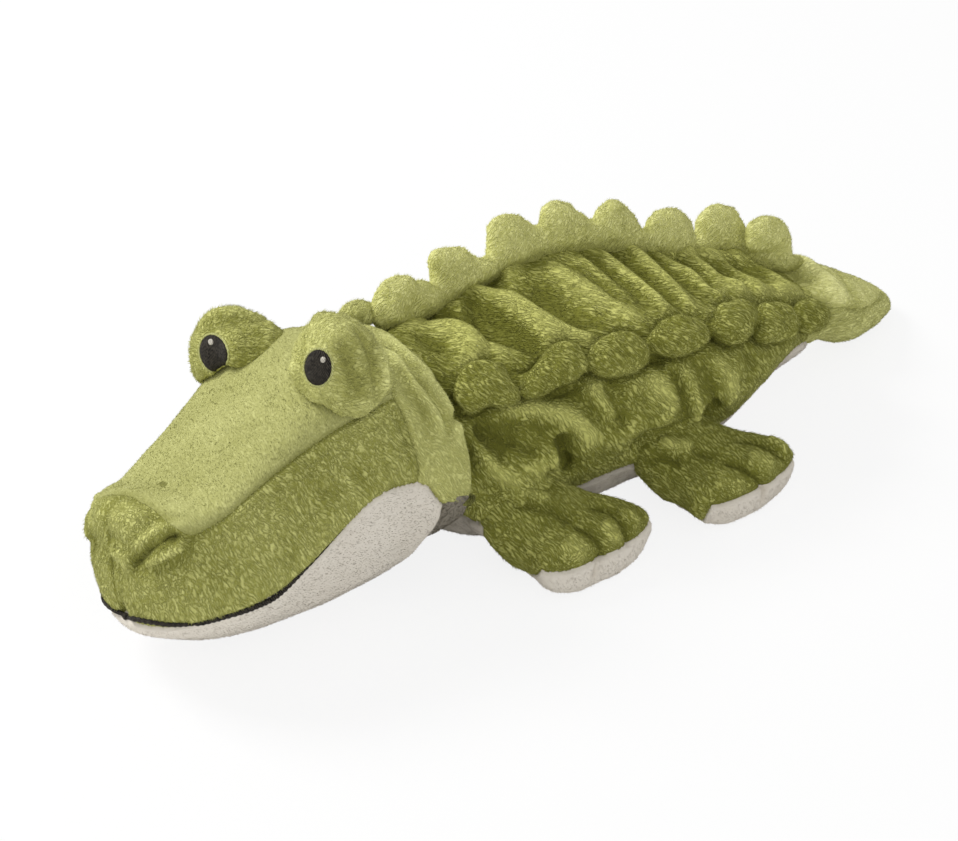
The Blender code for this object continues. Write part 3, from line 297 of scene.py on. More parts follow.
def skin(name, panels, others, voxel, pads=(), smoothing=4, levels=2):
    """A smooth closed skin round some solids, and its points' distances from each panel."""
    piece = joined_copy(name, list(panels) + list(others))
    if pads:
        added = []
        for centre, size in pads:
            bpy.ops.mesh.primitive_uv_sphere_add(segments=32, ring_count=16, radius=1.0, location=centre,
                                                 scale=size)
            added.append(bpy.context.object)
        select_only(piece, *added)
        bpy.ops.object.join()
    apply_modifier(piece, "REMESH", mode="VOXEL", voxel_size=voxel)
    piece = largest_shell(piece)
    piece.name = name
    smoothed(piece, smoothing)
    for index, field in enumerate(panel_distances(piece, panels).T):
        set_attribute(piece, f"panel_{index}", field)
    apply_modifier(piece, "SUBSURF", levels=levels, render_levels=levels)
    return piece, np.array([get_attribute(piece, f"panel_{index}") for index in range(len(panels))]).T


def seam_depths(fields, cloths=None):
    """How far each point lies from the nearest seam, where some panels may be one cloth."""
    if cloths is not None:
        fields = np.stack([fields[:, cloth].min(1) for cloth in cloths], axis=1)
    ordered = np.sort(fields, axis=1)
    return ordered[:, 1] - ordered[:, 0]


def surface_tree(piece):
    """A mesh made ready for finding its nearest point."""
    return BVHTree.FromPolygons(places(piece).tolist(), quad_corners(piece).tolist())


def curve_through(stops, count):
    """Points spread along a smooth curve through a few stops."""
    stops = np.array(stops, float)
    padded = np.concatenate([[2 * stops[0] - stops[1]], stops, [2 * stops[-1] - stops[-2]]])
    along = np.linspace(0, len(stops) - 1, count)
    step = np.minimum(along.astype(int), len(stops) - 2)
    part = (along - step)[:, None]
    before, start, end, after = (padded[step + offset] for offset in range(4))
    return 0.5 * (2 * start + (end - before) * part + (2 * before - 5 * start + 4 * end - after) * part ** 2
                  + (3 * start - before - 3 * end + after) * part ** 3)


def laid(tree, pixels, count=90):
    """A line drawn in the picture, laid on a surface."""
    hits = [tree.ray_cast(camera_place, ray_through(pixel))[0] for pixel in curve_through(pixels, count)]
    return np.array([hit for hit in hits if hit is not None])


def twin(tree, line, centre, across):
    """The same line on the other side of a middle plane, laid on the surface there."""
    centre, across = np.array(centre), np.array(across)
    turned = line - 2 * ((line - centre) @ across)[:, None] * across
    return np.array([tree.find_nearest(Vector(point))[0] for point in turned])


# A fold fades out over this share of its length at each end, and has a shallow hollow beside it: that many
# widths away, and that share of its height deep. Each twin on the other side is a little lower and wider.
FOLD_END = 0.22
BESIDE_PLACE = 1.9
BESIDE_DEPTH = 0.32
FOLD_REACH = 3.2
TWIN_HEIGHT = 0.8
TWIN_WIDTH = 1.15


def raised(points, ways, line, height, width, sharp):
    """How far each point rises for one fold, or sinks for one crease, along a line."""
    rise = np.zeros(len(points))
    if len(line) < 8:
        return rise
    reach = FOLD_REACH * width
    near = np.flatnonzero(np.all((points > line.min(0) - reach) & (points < line.max(0) + reach), axis=1))
    if not len(near):
        return rise
    gaps = np.linalg.norm(points[near, None] - line[None], axis=2)
    nearest = gaps.argmin(1)
    gap = gaps.min(1)
    middle_way = ways[near[gap.argmin()]]
    share = nearest / (len(line) - 1)
    taper = np.clip(np.minimum(share, 1 - share) / FOLD_END, 0, 1)
    taper = taper * taper * (3 - 2 * taper)
    hump = np.exp(-(gap / width) ** 2) - BESIDE_DEPTH * np.exp(-((gap - BESIDE_PLACE * width) / width) ** 2)
    shape = np.exp(-gap / width) if sharp else hump
    facing = np.clip(ways[near] @ middle_way * 3 + 1, 0, 1)
    rise[near] = height * taper * shape * facing
    return rise


def folded(piece, marks, tree, mirror=None, wander=0.0, lone=()):
    """The folds and creases drawn in the picture, as rises of a skin's points, with twins on its other side.
    Each mark is its height and width in millimetres and its line. A height below zero is a sewn or sharp
    crease. The lone marks lie on the middle and have no twin."""
    points, ways = places(piece), outward(piece)
    rise = np.zeros(len(points))
    for number, (height, width, pixels) in enumerate(marks):
        line = laid(tree, pixels)
        rise += raised(points, ways, line, height * MM, width * MM, height < 0)
        if mirror is not None and len(line) and number not in lone:
            other = twin(tree, line, *mirror) + np.array([0.0, wander * math.sin(number * 2.4 + 1), 0.0])
            rise += raised(points, ways, other, TWIN_HEIGHT * height * MM, TWIN_WIDTH * width * MM, height < 0)
    return points, averaged(rise, edge_pairs(piece), 4)


# How low a skin and the tips of its pile may lie over the floor, and how deep a hollow lies where its painted
# shade is full.
SKIN_FLOOR = 0.2 * MM
TIP_FLOOR = 0.1 * MM
FULL_SHADE_DEPTH = 2.4 * MM


def pressed_in(piece, points, rise, seams, seam_depth, seam_width):
    """Moves a skin's points by their folds and seams, and gives each its painted shade: darker the deeper it
    lies in a crease, seam or hollow, lighter on a crest.
    """
    depth = rise - seam_depth * np.exp(-(seams / seam_width) ** 2)
    points = points + outward(piece) * depth[:, None]
    points[:, 2] = np.maximum(points[:, 2], SKIN_FLOOR)
    set_places(piece, points)
    return np.clip(-depth / FULL_SHADE_DEPTH, -0.8, 1.0)


def split_panels(piece, panels, fields, hollow, seams):
    """Cuts a skin along its seams into the points, directions, painted shade and faces of each panel."""
    corners = quad_corners(piece)
    face_labels = np.argmin(fields[corners].mean(1), axis=1)
    points, ways = places(piece), outward(piece)
    return {panel: (points, ways, hollow, corners[face_labels == index], seams)
            for index, panel in enumerate(panels)}


def closed_patch(points, ways, faces, depth):
    """A patch of skin made a closed body: its rim is turned in and its back is closed."""
    used, faces = np.unique(faces, return_inverse=True)
    faces = faces.reshape(-1, 4)
    patch, out = points[used], ways[used]
    starts = faces.ravel()
    ends = np.roll(faces, -1, axis=1).ravel()
    keys = set(zip(starts.tolist(), ends.tolist()))
    rim = sorted((a, b) for a, b in keys if (b, a) not in keys)
    following = {}
    for a, b in rim:
        following.setdefault(a, []).append(b)
    rim_points = sorted(following)
    lower = {point: len(patch) + place for place, point in enumerate(rim_points)}
    inner = patch[rim_points] - out[rim_points] * depth
    walls = [(b, a, lower[a], lower[b]) for a, b in rim]
    total = np.concatenate([patch, inner])
    covers, extra = [], []
    left = {a: list(b) for a, b in following.items()}
    for start in rim_points:
        while left[start]:
            loop = [start]
            step = left[start].pop()
            while step != start:
                loop.append(step)
                step = left[step].pop()
            middle = len(total) + len(extra)
            extra.append(total[[lower[place] for place in loop]].mean(0))
            for a, b in zip(loop, loop[1:] + loop[:1]):
                covers.append((lower[b], lower[a], middle))
    if extra:
        total = np.concatenate([total, np.array(extra)])
    return used, total, faces, walls, covers


def stretched(roots, flow, across, along):
    """Places scaled so that noise of size one makes streaks along the lay of the pile."""
    reach = np.sum(roots * flow, axis=1, keepdims=True)
    return (roots - flow * reach) / across + flow * reach / along


# The locks of pile wander this far from the cloth's grain, in waves of this size.
LOCK_WANDER = 1.3 * MM
LOCK_WAVE = 7 * MM


def combed(roots, grain, locks, seed):
    """Places in the pattern of the combed locks, which wave a little along the cloth's grain."""
    wave = np.stack([ripple(roots, LOCK_WAVE, seed + axis) for axis in (14, 15, 16)], axis=1)
    flow = np.array([grain], float) / np.linalg.norm(grain)
    return stretched(roots + LOCK_WANDER * wave, flow, locks[0] * MM, locks[1] * MM)


STRAND_GIRTH = 0.15 * MM
STRAND_SPACING = 0.80 * MM
# Painted shade deep in the pile: how light the pile is painted at the roots of its tufts and on the cloth
# between them, where 1 is a tuft's tip.
ROOT_SHADE = 0.4
CLOTH_SHADE = 0.72
CLOTH_THICKNESS = 2.5 * MM
# How far the lay of the pile wanders over the cloth, how far each tuft strays from it, and how far small
# groups of tufts curl to the side.
SWIRL = 0.22
SWIRL_SIZE = 9 * MM
STRAY = 0.16
CURL = 0.35
CURL_SIZE = 2.0 * MM
# The pile is shorter this near to a seam, and each tuft starts this many millimetres under the cloth.
SEAM_REACH = 1.1 * MM
ROOT_DEPTH = 0.2


def pile_strands(patch, lay, length, seed, lift, grain, locks, bare=None):
    """Tufts of pile: slim three-sided cones that lean along the cloth's lay and lie in combed locks."""
    points, ways, hollow, faces, seams = patch
    chance = np.random.default_rng(seed)
    triangles = np.concatenate([faces[:, [0, 1, 2]], faces[:, [0, 2, 3]]])
    corners = points[triangles]
    areas = np.linalg.norm(np.cross(corners[:, 1] - corners[:, 0], corners[:, 2] - corners[:, 0]), axis=1) / 2
    count = int(areas.sum() / STRAND_SPACING ** 2)
    chosen = chance.choice(len(areas), count, p=areas / areas.sum())
    first, second = chance.random(count), chance.random(count)
    over = first + second > 1
    first[over], second[over] = 1 - first[over], 1 - second[over]
    shares = np.stack([1 - first - second, first, second], axis=1)
    at = triangles[chosen]
    roots = (points[at] * shares[..., None]).sum(1)
    out = (ways[at] * shares[..., None]).sum(1)
    sunk_and_shaded = (hollow[at] * shares).sum(1)
    near_seam = np.exp(-((seams[at] * shares).sum(1) / SEAM_REACH) ** 2)
    kept = np.ones(count, bool) if bare is None else ~bare(roots)
    roots, out, sunk_and_shaded, near_seam = roots[kept], out[kept], sunk_and_shaded[kept], near_seam[kept]
    count = len(roots)
    out /= np.linalg.norm(out, axis=1, keepdims=True)
    flow = lay(roots)
    flow = flow / np.linalg.norm(flow, axis=1, keepdims=True)
    swirl = np.stack([ripple(roots, SWIRL_SIZE, seed + axis) for axis in (1, 2, 3)], axis=1)
    flow = flow + SWIRL * swirl
    flow -= out * np.sum(flow * out, axis=1, keepdims=True)
    flow /= np.maximum(np.linalg.norm(flow, axis=1, keepdims=True), 1e-9)
    comb = combed(roots, grain, locks, seed)
    lock = ripple(comb, 1.0, seed + 9)
    stray = chance.normal(size=(count, 3))
    side = np.cross(flow, out)
    way = flow + STRAY * stray + CURL * side * ripple(roots, CURL_SIZE, seed + 5)[:, None]
    way -= out * np.sum(way * out, axis=1, keepdims=True)
    way /= np.maximum(np.linalg.norm(way, axis=1, keepdims=True), 1e-9)
    way = way + out * (lift * (1 + 0.4 * lock))[:, None]
    way /= np.linalg.norm(way, axis=1, keepdims=True)
    long = length * (0.95 + 0.22 * lock + 0.10 * chance.normal(size=count)) * (1 - 0.55 * near_seam)
    long = np.maximum(long, length * 0.25)
    side = np.cross(way, out)
    side /= np.maximum(np.linalg.norm(side, axis=1, keepdims=True), 1e-9)
    under = np.cross(side, way)
    base = roots - out * ROOT_DEPTH * MM
    thick = STRAND_GIRTH * (0.8 + 0.4 * chance.random(count))[:, None]
    ring = [base + side * thick, base - side * thick, base - under * thick * 0.8]
    tips = roots + way * long[:, None]
    tips[:, 2] = np.maximum(tips[:, 2], TIP_FLOOR)
    strands = np.stack(ring + [tips], axis=1).reshape(-1, 3)
    start = np.arange(count)[:, None] * 4
    sides = np.concatenate([start + np.array([[0, 1, 3]]), start + np.array([[1, 2, 3]]),
                            start + np.array([[2, 0, 3]]), start + np.array([[0, 2, 1]])])
    turned = np.sum(np.cross(ring[1] - ring[0], tips - ring[0]) * (ring[2] - ring[0]), axis=1) > 0
    flip = np.tile(turned, 4)
    sides[flip] = sides[flip][:, [0, 2, 1]]
    shades = np.tile([ROOT_SHADE, ROOT_SHADE, ROOT_SHADE, 1.0], count)
    return strands, sides, shades, np.repeat(comb, 4, axis=0), np.repeat(sunk_and_shaded, 4)


def build_piece(name, points, quads, triangles, finish, **numbers):
    """A mesh object from points, quads and triangles, with numbers at its points for the material."""
    mesh = bpy.data.meshes.new(name)
    mesh.vertices.add(len(points))
    mesh.vertices.foreach_set("co", np.ascontiguousarray(points, np.float32).ravel())
    quads = np.asarray(quads, np.int32).reshape(-1, 4)
    triangles = np.asarray(triangles, np.int32).reshape(-1, 3)
    corners = np.concatenate([quads.ravel(), triangles.ravel()])
    starts = np.concatenate([np.arange(len(quads)) * 4, len(quads) * 4 + np.arange(len(triangles)) * 3])
    mesh.loops.add(len(corners))
    mesh.loops.foreach_set("vertex_index", corners.astype(np.int32))
    mesh.polygons.add(len(starts))
    mesh.polygons.foreach_set("loop_start", starts.astype(np.int32))
    mesh.update(calc_edges=True)
    mesh.shade_smooth()
    piece = bpy.data.objects.new(name, mesh)
    bpy.context.collection.objects.link(piece)
    mesh.materials.append(finish)
    for key, values in numbers.items():
        set_attribute(piece, key, values)
    return piece


def dressed(name, patch, finish, lay, length, seed, lift, grain, locks, bare=None):
    """One panel of skin as a closed piece with its pile."""
    points, ways, hollow, faces = patch[:4]
    used, total, quads, walls, covers = closed_patch(points, ways, faces, CLOTH_THICKNESS)
    strands, sides, tips, combs, sunk_and_shaded = pile_strands(patch, lay, length, seed, lift, grain, locks, bare)
    rest = len(total) - len(used)
    quads = np.concatenate([quads, np.array(walls, np.int32).reshape(-1, 4)])
    triangles = np.concatenate([np.array(covers, np.int32).reshape(-1, 3), sides + len(total)])
    return build_piece(name, np.concatenate([total, strands]), quads, triangles, finish,
                       tip=np.concatenate([np.full(len(total), CLOTH_SHADE), tips]),
                       comb=np.concatenate([combed(total, grain, locks, seed), combs]),
                       hollow=np.concatenate([hollow[used], np.ones(rest), sunk_and_shaded]))


class Number:
    """A number on its way through a material's nodes, for sums written as in Python."""

    def __init__(self, finish, socket):
        self.finish = finish
        self.socket = socket

    def with_other(self, operation, other, swapped=False):
        """This number and another, put through one Math node."""
        first, second = (other, self) if swapped else (self, other)
        return self.finish.node("ShaderNodeMath", {"operation": operation}, {0: first, 1: second})

    def __add__(self, other):
        return self.with_other("ADD", other)

    __radd__ = __add__

    def __sub__(self, other):
        return self.with_other("SUBTRACT", other)

    def __rsub__(self, other):
        return self.with_other("SUBTRACT", other, True)

    def __mul__(self, other):
        return self.with_other("MULTIPLY", other)

    __rmul__ = __mul__

    def __abs__(self):
        return self.with_other("ABSOLUTE", 0.0)


class Finish:
    """A material under construction: its nodes, and a short way to add and join them."""

    def __init__(self, name):
        self.material = bpy.data.materials.new(name)
        self.material.use_nodes = True
        self.tree = self.material.node_tree
        self.shader = self.tree.nodes["Principled BSDF"]

    def node(self, kind, settings=None, inputs=None, output=0):
        """Adds a node, sets it up, feeds it, and gives one of its outputs."""
        made = self.tree.nodes.new(kind)
        for key, value in (settings or {}).items():
            setattr(made, key, value)
        for key, value in (inputs or {}).items():
            self.feed(made.inputs[key], value)
        return Number(self, made.outputs[output])

    def feed(self, socket, value):
        """Sets a socket to a value or joins it to a number's socket."""
        if isinstance(value, Number):
            self.tree.links.new(value.socket, socket)
        else:
            socket.default_value = value

    def mixed(self, share, first, second):
        """A colour between two others."""
        return self.node("ShaderNodeMix", {"data_type": "RGBA"}, {0: share, 6: first, 7: second}, 2)

    def held(self, value):
        """A number kept between nought and one."""
        return self.node("ShaderNodeClamp", {}, {"Value": value})

    def noise(self, size, detail=2.0):
        """Noise over the object whose lumps have about the given size."""
        place = self.node("ShaderNodeTexCoord", output="Object")
        return self.node("ShaderNodeTexNoise", {},
                         {"Vector": place, "Scale": 1.0 / size, "Detail": detail}, "Fac")

    def kept(self, name, output="Fac"):
        """A number, or a place in a pattern, kept at the points of the mesh."""
        return self.node("ShaderNodeAttribute", {"attribute_name": name}, output=output)


def pile_finish(name, shaded_root, low, high, streak_shade, relief):
    """Short pile cloth with painted shade: darker at its roots, in its folds and in the fine partings between
    its combed wavy locks, and lighter on its crests.
    """
    finish = Finish(name)
    comb = finish.kept("comb", "Vector")
    wave = finish.node("ShaderNodeTexNoise", {},
                       {"Vector": comb, "Scale": 1.0, "Detail": 2.0, "Roughness": 0.5}, "Fac")
    lock = finish.held(abs(wave - 0.5) * 7.0) * 0.6 + wave * 0.4
    broad = finish.noise(24 * MM, 2.0)
    # Painted shade and light: the partings between the locks are darker and the locks lighter, and the cloth
    # is darker in hollows and lighter on crests.
    lit = finish.held(0.5 + (broad - 0.5) * 0.5 + (lock - 0.56) * streak_shade - finish.kept("hollow") * 0.6)
    cloth = finish.mixed(lit, low, high)
    # Painted shade deep in the pile: the colour runs from the shaded root colour at the tufts' roots to the
    # cloth's colour at their tips, and towards the root colour in hollows.
    depth = finish.held(0.25 + finish.kept("tip") * 0.9 - finish.kept("hollow") * 0.4)
    finish.feed(finish.shader.inputs["Base Color"], finish.mixed(depth, shaded_root, cloth))
    bump = finish.node("ShaderNodeBump", {}, {"Strength": relief, "Distance": 0.8 * MM, "Height": lock})
    finish.feed(finish.shader.inputs["Normal"], bump)
    finish.shader.inputs["Roughness"].default_value = 0.85
    finish.shader.inputs["Specular IOR Level"].default_value = 0.15
    finish.shader.inputs["Sheen Weight"].default_value = 0.08
    finish.shader.inputs["Sheen Roughness"].default_value = 0.5
    finish.shader.inputs["Sheen Tint"].default_value = high
    return finish.material


# Copies of the green pile painted lighter, as painted light where the light falls on them: the lit copy for
# the tail's underside and the nape's half-rounds, the brightly lit copy for the tail's top and the right row.
GREEN_PILE = pile_finish("green_minky", (0.110, 0.112, 0.015, 1.0), (0.230, 0.234, 0.036, 1.0),
                         (0.620, 0.620, 0.190, 1.0), 1.5, 1.0)
LIT_GREEN_PILE = pile_finish("lit_green_minky", (0.240, 0.240, 0.055, 1.0), (0.450, 0.450, 0.135, 1.0),
                         (0.850, 0.850, 0.350, 1.0), 1.2, 0.7)
BRIGHTLY_LIT_PILE = pile_finish("brightly_lit_green_minky", (0.290, 0.290, 0.070, 1.0), (0.640, 0.640, 0.210, 1.0),
                         (0.980, 0.970, 0.430, 1.0), 1.2, 0.8)
WHITE_PILE = pile_finish("white_minky", (0.64, 0.59, 0.50, 1.0), (0.74, 0.68, 0.585, 1.0),
                         (0.84, 0.79, 0.70, 1.0), 0.4, 0.05)
# A copy of the white pile with a much darker root, for the belly and the throat, so that their painted shade
# goes deeper.
SHADED_WHITE_PILE = pile_finish("shaded_white_minky", (0.18, 0.16, 0.12, 1.0), (0.70, 0.64, 0.55, 1.0),
                         (0.82, 0.76, 0.67, 1.0), 0.4, 0.15)


def steady(way):
    """A lay that is the same all over a panel."""
    flow = np.array(way, float) / np.linalg.norm(way)
    return lambda roots: np.broadcast_to(flow, roots.shape)


TORSO_PANELS = ["back_panel", "side_panel_left", "side_panel_right", "belly_panel", "tail_top_panel",
                "tail_bottom_panel"]
TAIL_PIVOT = Vector((-0.0025, 0.1258, 0.024))
leg_centres = {joint["child"]: Vector(joint["pos_m"]) for joint in frame["joints"]
               if joint["child"].endswith("_leg")}
torso_pads = [(centre, (12 * MM, 20 * MM, 12 * MM)) for centre in leg_centres.values()]
torso_pads.append((TAIL_PIVOT - Vector((0.0, 6 * MM, 0.0)), (19 * MM, 16 * MM, 15 * MM)))
# The outlines in the picture of the left row's half-rounds, round which the cloth sinks.
NEAR_LOBES = (
    [(451, 394), (460, 373), (476, 361), (489, 360), (503, 367.5), (510, 380), (521, 391), (519, 401),
     (503, 407), (489, 406), (476, 414), (460, 409)],
    [(517.5, 394), (523.6, 380), (537, 362), (551, 346), (564, 341), (578, 345), (587, 358.6), (588, 369),
     (576, 380), (558.6, 386), (544, 395), (528, 401)],
    [(587, 366), (592.5, 346), (608.6, 333.6), (626, 329), (642.5, 337), (650, 351), (646, 364), (630, 375),
     (612, 378.6), (596, 375)],
    [(645, 340), (658.6, 323), (680, 315), (698, 318.6), (710, 332), (708.6, 342.5), (691, 352), (673, 356),
     (658.6, 354), (649, 348)],
    [(712, 321), (717.5, 305), (733.6, 300), (750, 301), (757, 314), (754, 328), (746, 341), (732, 344),
     (719, 341), (711, 333.6)],
    [(753, 321), (760, 305), (776, 301), (791, 307), (797, 323), (794, 337), (780, 342.5), (764, 343.6),
     (753, 337)],
    [(794, 316), (798, 303), (808.6, 299), (823, 303), (829, 316), (824.6, 328), (812, 333.6), (800, 332)],
)
# Height and width in millimetres, then the line: rolls of cloth are above nought, sharp creases below it.
BODY_MARKS = (
    (3.4, 6.0, [(386, 328), (412, 325), (440, 329), (470, 340), (500, 352), (532, 366)]),
    (-4.2, 3.0, [(386, 338), (404, 350), (424, 363), (440, 378), (454, 396)]),
    (-4.4, 3.2, [(420, 320), (445, 315), (470, 321), (500, 332), (532, 344), (560, 352)]),
    (3.4, 4.6, [(448, 296), (470, 289), (497, 297), (524, 312), (555, 327), (588, 340), (612, 350)]),
    (-1.8, 3.0, [(478, 281), (512, 289), (545, 306), (578, 323), (610, 337)]),
    (1.4, 6.0, [(530, 262), (560, 275), (590, 291), (622, 310), (650, 328)]),
    (-1.4, 2.6, [(552, 254), (585, 274), (615, 295), (648, 318)]),
    (1.2, 4.0, [(560, 248), (592, 266), (622, 286), (655, 312)]),
    (-1.5, 2.0, [(576, 245), (604, 266), (634, 289), (664, 314)]),
    (1.9, 2.8, [(590, 240), (618, 265), (645, 289), (672, 316)]),
    (-2.0, 1.6, [(606, 241), (632, 264), (660, 288), (686, 313)]),
    (1.7, 2.4, [(620, 240), (648, 264), (675, 288), (700, 314)]),
    (-1.9, 1.5, [(630, 242), (660, 264), (692, 288), (716, 310)]),
    (1.6, 2.2, [(640, 243), (672, 264), (706, 286), (732, 306)]),
    (-1.8, 1.4, [(652, 244), (685, 264), (718, 285), (742, 303)]),
    (1.5, 2.2, [(665, 246), (697, 263), (727, 281), (751, 302)]),
    (-1.6, 1.5, [(684, 248), (712, 263), (738, 279), (760, 300)]),
    (1.3, 2.6, [(703, 252), (728, 265), (748, 280), (768, 300)]),
    (-1.5, 1.5, [(733, 262), (752, 272), (768, 284), (778, 298)]),
    (-1.7, 1.7, [(782, 252), (793, 266), (800, 282), (803, 297)]),
    (1.0, 3.0, [(760, 262), (778, 276), (788, 294)]),
    (-1.2, 1.3, [(832, 266), (842, 275), (850, 288)]),
    (3.0, 3.8, [(480, 409), (505, 406), (530, 405), (553, 409), (574, 420), (588, 436), (594, 452)]),
    (-4.2, 3.0, [(470, 427), (488, 434), (508, 443), (528, 451), (548, 462)]),
    (-4.8, 2.6, [(560, 434), (566, 446), (568, 460), (564, 474)]),
    (1.8, 1.8, [(553, 444), (556, 460), (557, 478)]),
    (1.0, 5.0, [(500, 452), (520, 454), (538, 464), (546, 480)]),
    (2.2, 3.0, [(458, 410), (466, 426), (478, 445), (492, 464), (508, 479), (530, 485)]),
    (-2.6, 2.0, [(474, 420), (486, 438), (498, 454), (510, 468)]),
    (2.2, 3.6, [(584, 377), (598, 392), (608, 408), (613, 426)]),
    (-2.6, 1.9, [(599, 381), (611, 398), (621, 416), (627, 434)]),
    (2.0, 4.2, [(641, 369), (655, 381), (668, 397), (680, 418)]),
    (-2.0, 1.7, [(667, 364), (679, 382), (687, 402), (691, 426)]),
    (1.7, 2.6, [(677, 360), (688, 379), (696, 402), (699, 428)]),
    (-3.6, 2.4, [(644, 357), (655, 361), (668, 363)]),
    (-2.4, 2.0, [(535, 402), (560, 396), (585, 384)]),
    (1.4, 4.0, [(708, 352), (722, 368), (732, 388), (736, 406)]),
    (-1.5, 1.8, [(700, 356), (710, 374), (716, 396), (716, 416)]),
    (-1.3, 1.8, [(742, 348), (752, 362), (756, 376)]),
    (-3.5, 2.8, [(446, 382), (459, 404), (468, 430), (473, 458), (475, 488)]),
    (2.6, 5.0, [(650, 248), (700, 254), (745, 257), (790, 261), (825, 270)]),
) + tuple((-2.2, 1.5, outline + outline[:1]) for outline in NEAR_LOBES)
body_skin, fields = skin("body_skin", TORSO_PANELS, ["torso_stuffing", "tail_stuffing"], 2.4 * MM, torso_pads,
                         smoothing=6)
body_tree = surface_tree(body_skin)
MIDDLE_PLANE = ((0.0, 0.0, 0.0), (1.0, 0.0, 0.0))
# How deep and how wide the seams are drawn in.
BODY_SEAM = (1.2 * MM, 1.3 * MM)
FINE_SEAM = (0.9 * MM, 1.0 * MM)
BODY_RIPPLE = 0.5 * MM
BELLY_RISE = 8.5 * MM
TAIL_SEAM_RISE = 7.0 * MM
# Forwards of this place the belly's cloth is painted darker, as painted shade under the neck.
BELLY_SHADE_START = -40 * MM
BELLY_SHADE_FADE = 15 * MM
points, rise = folded(body_skin, BODY_MARKS, body_tree, MIDDLE_PLANE, 3 * MM)
rise += BODY_RIPPLE * ripple(stretched(points, np.array([[1.0, 0.0, 0.0]]), 6 * MM, 22 * MM), 1.0, 3)
fields -= [0.0, 0.0, 0.0, BELLY_RISE, 0.0, TAIL_SEAM_RISE]
seams = seam_depths(fields, [[0, 4], [1, 2, 5], [3]])
# Painted shade in the body's creases and seams, and painted light on the crests of its folds.
hollow = pressed_in(body_skin, points, rise, seams, *BODY_SEAM)
on_belly = fields.argmin(1) == TORSO_PANELS.index("belly_panel")
hollow += np.clip((BELLY_SHADE_START - points[:, 1]) / BELLY_SHADE_FADE, 0, 0.9) * on_belly

# Each panel: its cloth, its slot, and the lay of its pile.
TORSO_FINISHES = {"back_panel": (GREEN_PILE, "green_pile", (0.8, 0.6, 0.0)),
                  "side_panel_left": (GREEN_PILE, "green_pile", (0.0, 0.55, -0.83)),
                  "side_panel_right": (GREEN_PILE, "green_pile", (0.0, 0.55, -0.83)),
                  "belly_panel": (SHADED_WHITE_PILE, "white_pile", (0.0, 1.0, 0.0)),
                  "tail_top_panel": (BRIGHTLY_LIT_PILE, "green_pile", (0.2, 1.0, -0.3)),
                  "tail_bottom_panel": (LIT_GREEN_PILE, "green_pile", (0.0, 1.0, 0.0))}
TORSO_HIDDEN = {"back_panel": ["torso_stuffing", "pellet_pouch"], "tail_top_panel": ["tail_stuffing"]}
for number, (panel, patch) in enumerate(split_panels(body_skin, TORSO_PANELS, fields, hollow, seams).items()):
    finish, slot_name, flow = TORSO_FINISHES[panel]
    piece = dressed(panel.replace("_panel", "") + "_skin", patch, finish, steady(flow), 1.4 * MM, 10 + number,
                    0.32, flow, (1.2, 6.0))
    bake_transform(piece)
    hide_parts(panel, *TORSO_HIDDEN.get(panel, []))

# The two rows of padded half-rounds sewn into the seams between the back and the sides.
# Each is two layers of pile cloth over a little filling; those of the left row flop outwards.
FAR_LOBES = (
    [(373, 324), (373.6, 301), (377, 289.6), (385, 280), (399.6, 275), (408, 276), (414, 281), (417, 295),
     (411, 310), (405, 323), (391, 332), (378, 332)],
    [(430, 272), (427, 258), (434, 249), (448, 246), (464, 248), (474, 257), (486, 266), (488, 277),
     (476, 285), (464, 288), (451, 304), (439, 306), (432, 292)],
    [(487, 251), (488, 226), (499, 215), (512, 212), (526, 221), (544, 235), (552, 247), (540, 259),
     (516, 268), (498, 270), (489, 262)],
    [(539, 223), (544, 205), (557, 199.5), (571, 205), (587, 219), (599, 236), (594, 245), (573, 247),
     (553, 252), (543, 241)],
    [(592.5, 223), (599, 206), (612, 200), (625, 207), (635, 217.5), (642, 234), (644, 244), (630, 247),
     (612, 246), (597, 240)],
    [(643, 236), (649, 218), (660, 209), (675, 208), (687, 218), (695, 239), (689, 251), (669, 251),
     (650, 247)],
    [(695, 241), (700, 216), (711, 206), (726, 205), (738, 216), (747, 239), (742.5, 253), (719, 252),
     (700, 250)],
    [(746, 242), (749, 225), (761, 216), (775, 216), (784.6, 225), (791, 244), (787, 255), (766, 252),
     (749, 251)],
)
# Low folds of the same cloth that fill the gaps beside the first three.
FAR_WEBS = (
    [(409, 302), (411, 283), (418, 280), (426, 280), (434, 285), (441, 300), (434, 313), (420, 316),
     (411, 312)],
    [(462, 280), (466, 262), (476, 257), (487, 257), (496, 265), (494, 276), (480, 285), (468, 287)],
)
WEB_BASES = ((426, 312), (482, 280))
FAR_BASES = ((400, 322), (455, 293), (520, 259), (574, 246), (617, 245), (673, 250), (722, 252), (769, 255))
# In millimetres: how far the left half-rounds stand off the body, how thick the half-rounds and folds are,
# and how thick the raised cloth is that carries each row.
NEAR_STANDOFF = 4.8
NEAR_THICKNESS = 5.4
FAR_THICKNESS = 5.6
WEB_THICKNESS = 4.4
NAPE_THICKNESS = 4.5
NEAR_SEAM = 2.8
FAR_SEAM = 3.3


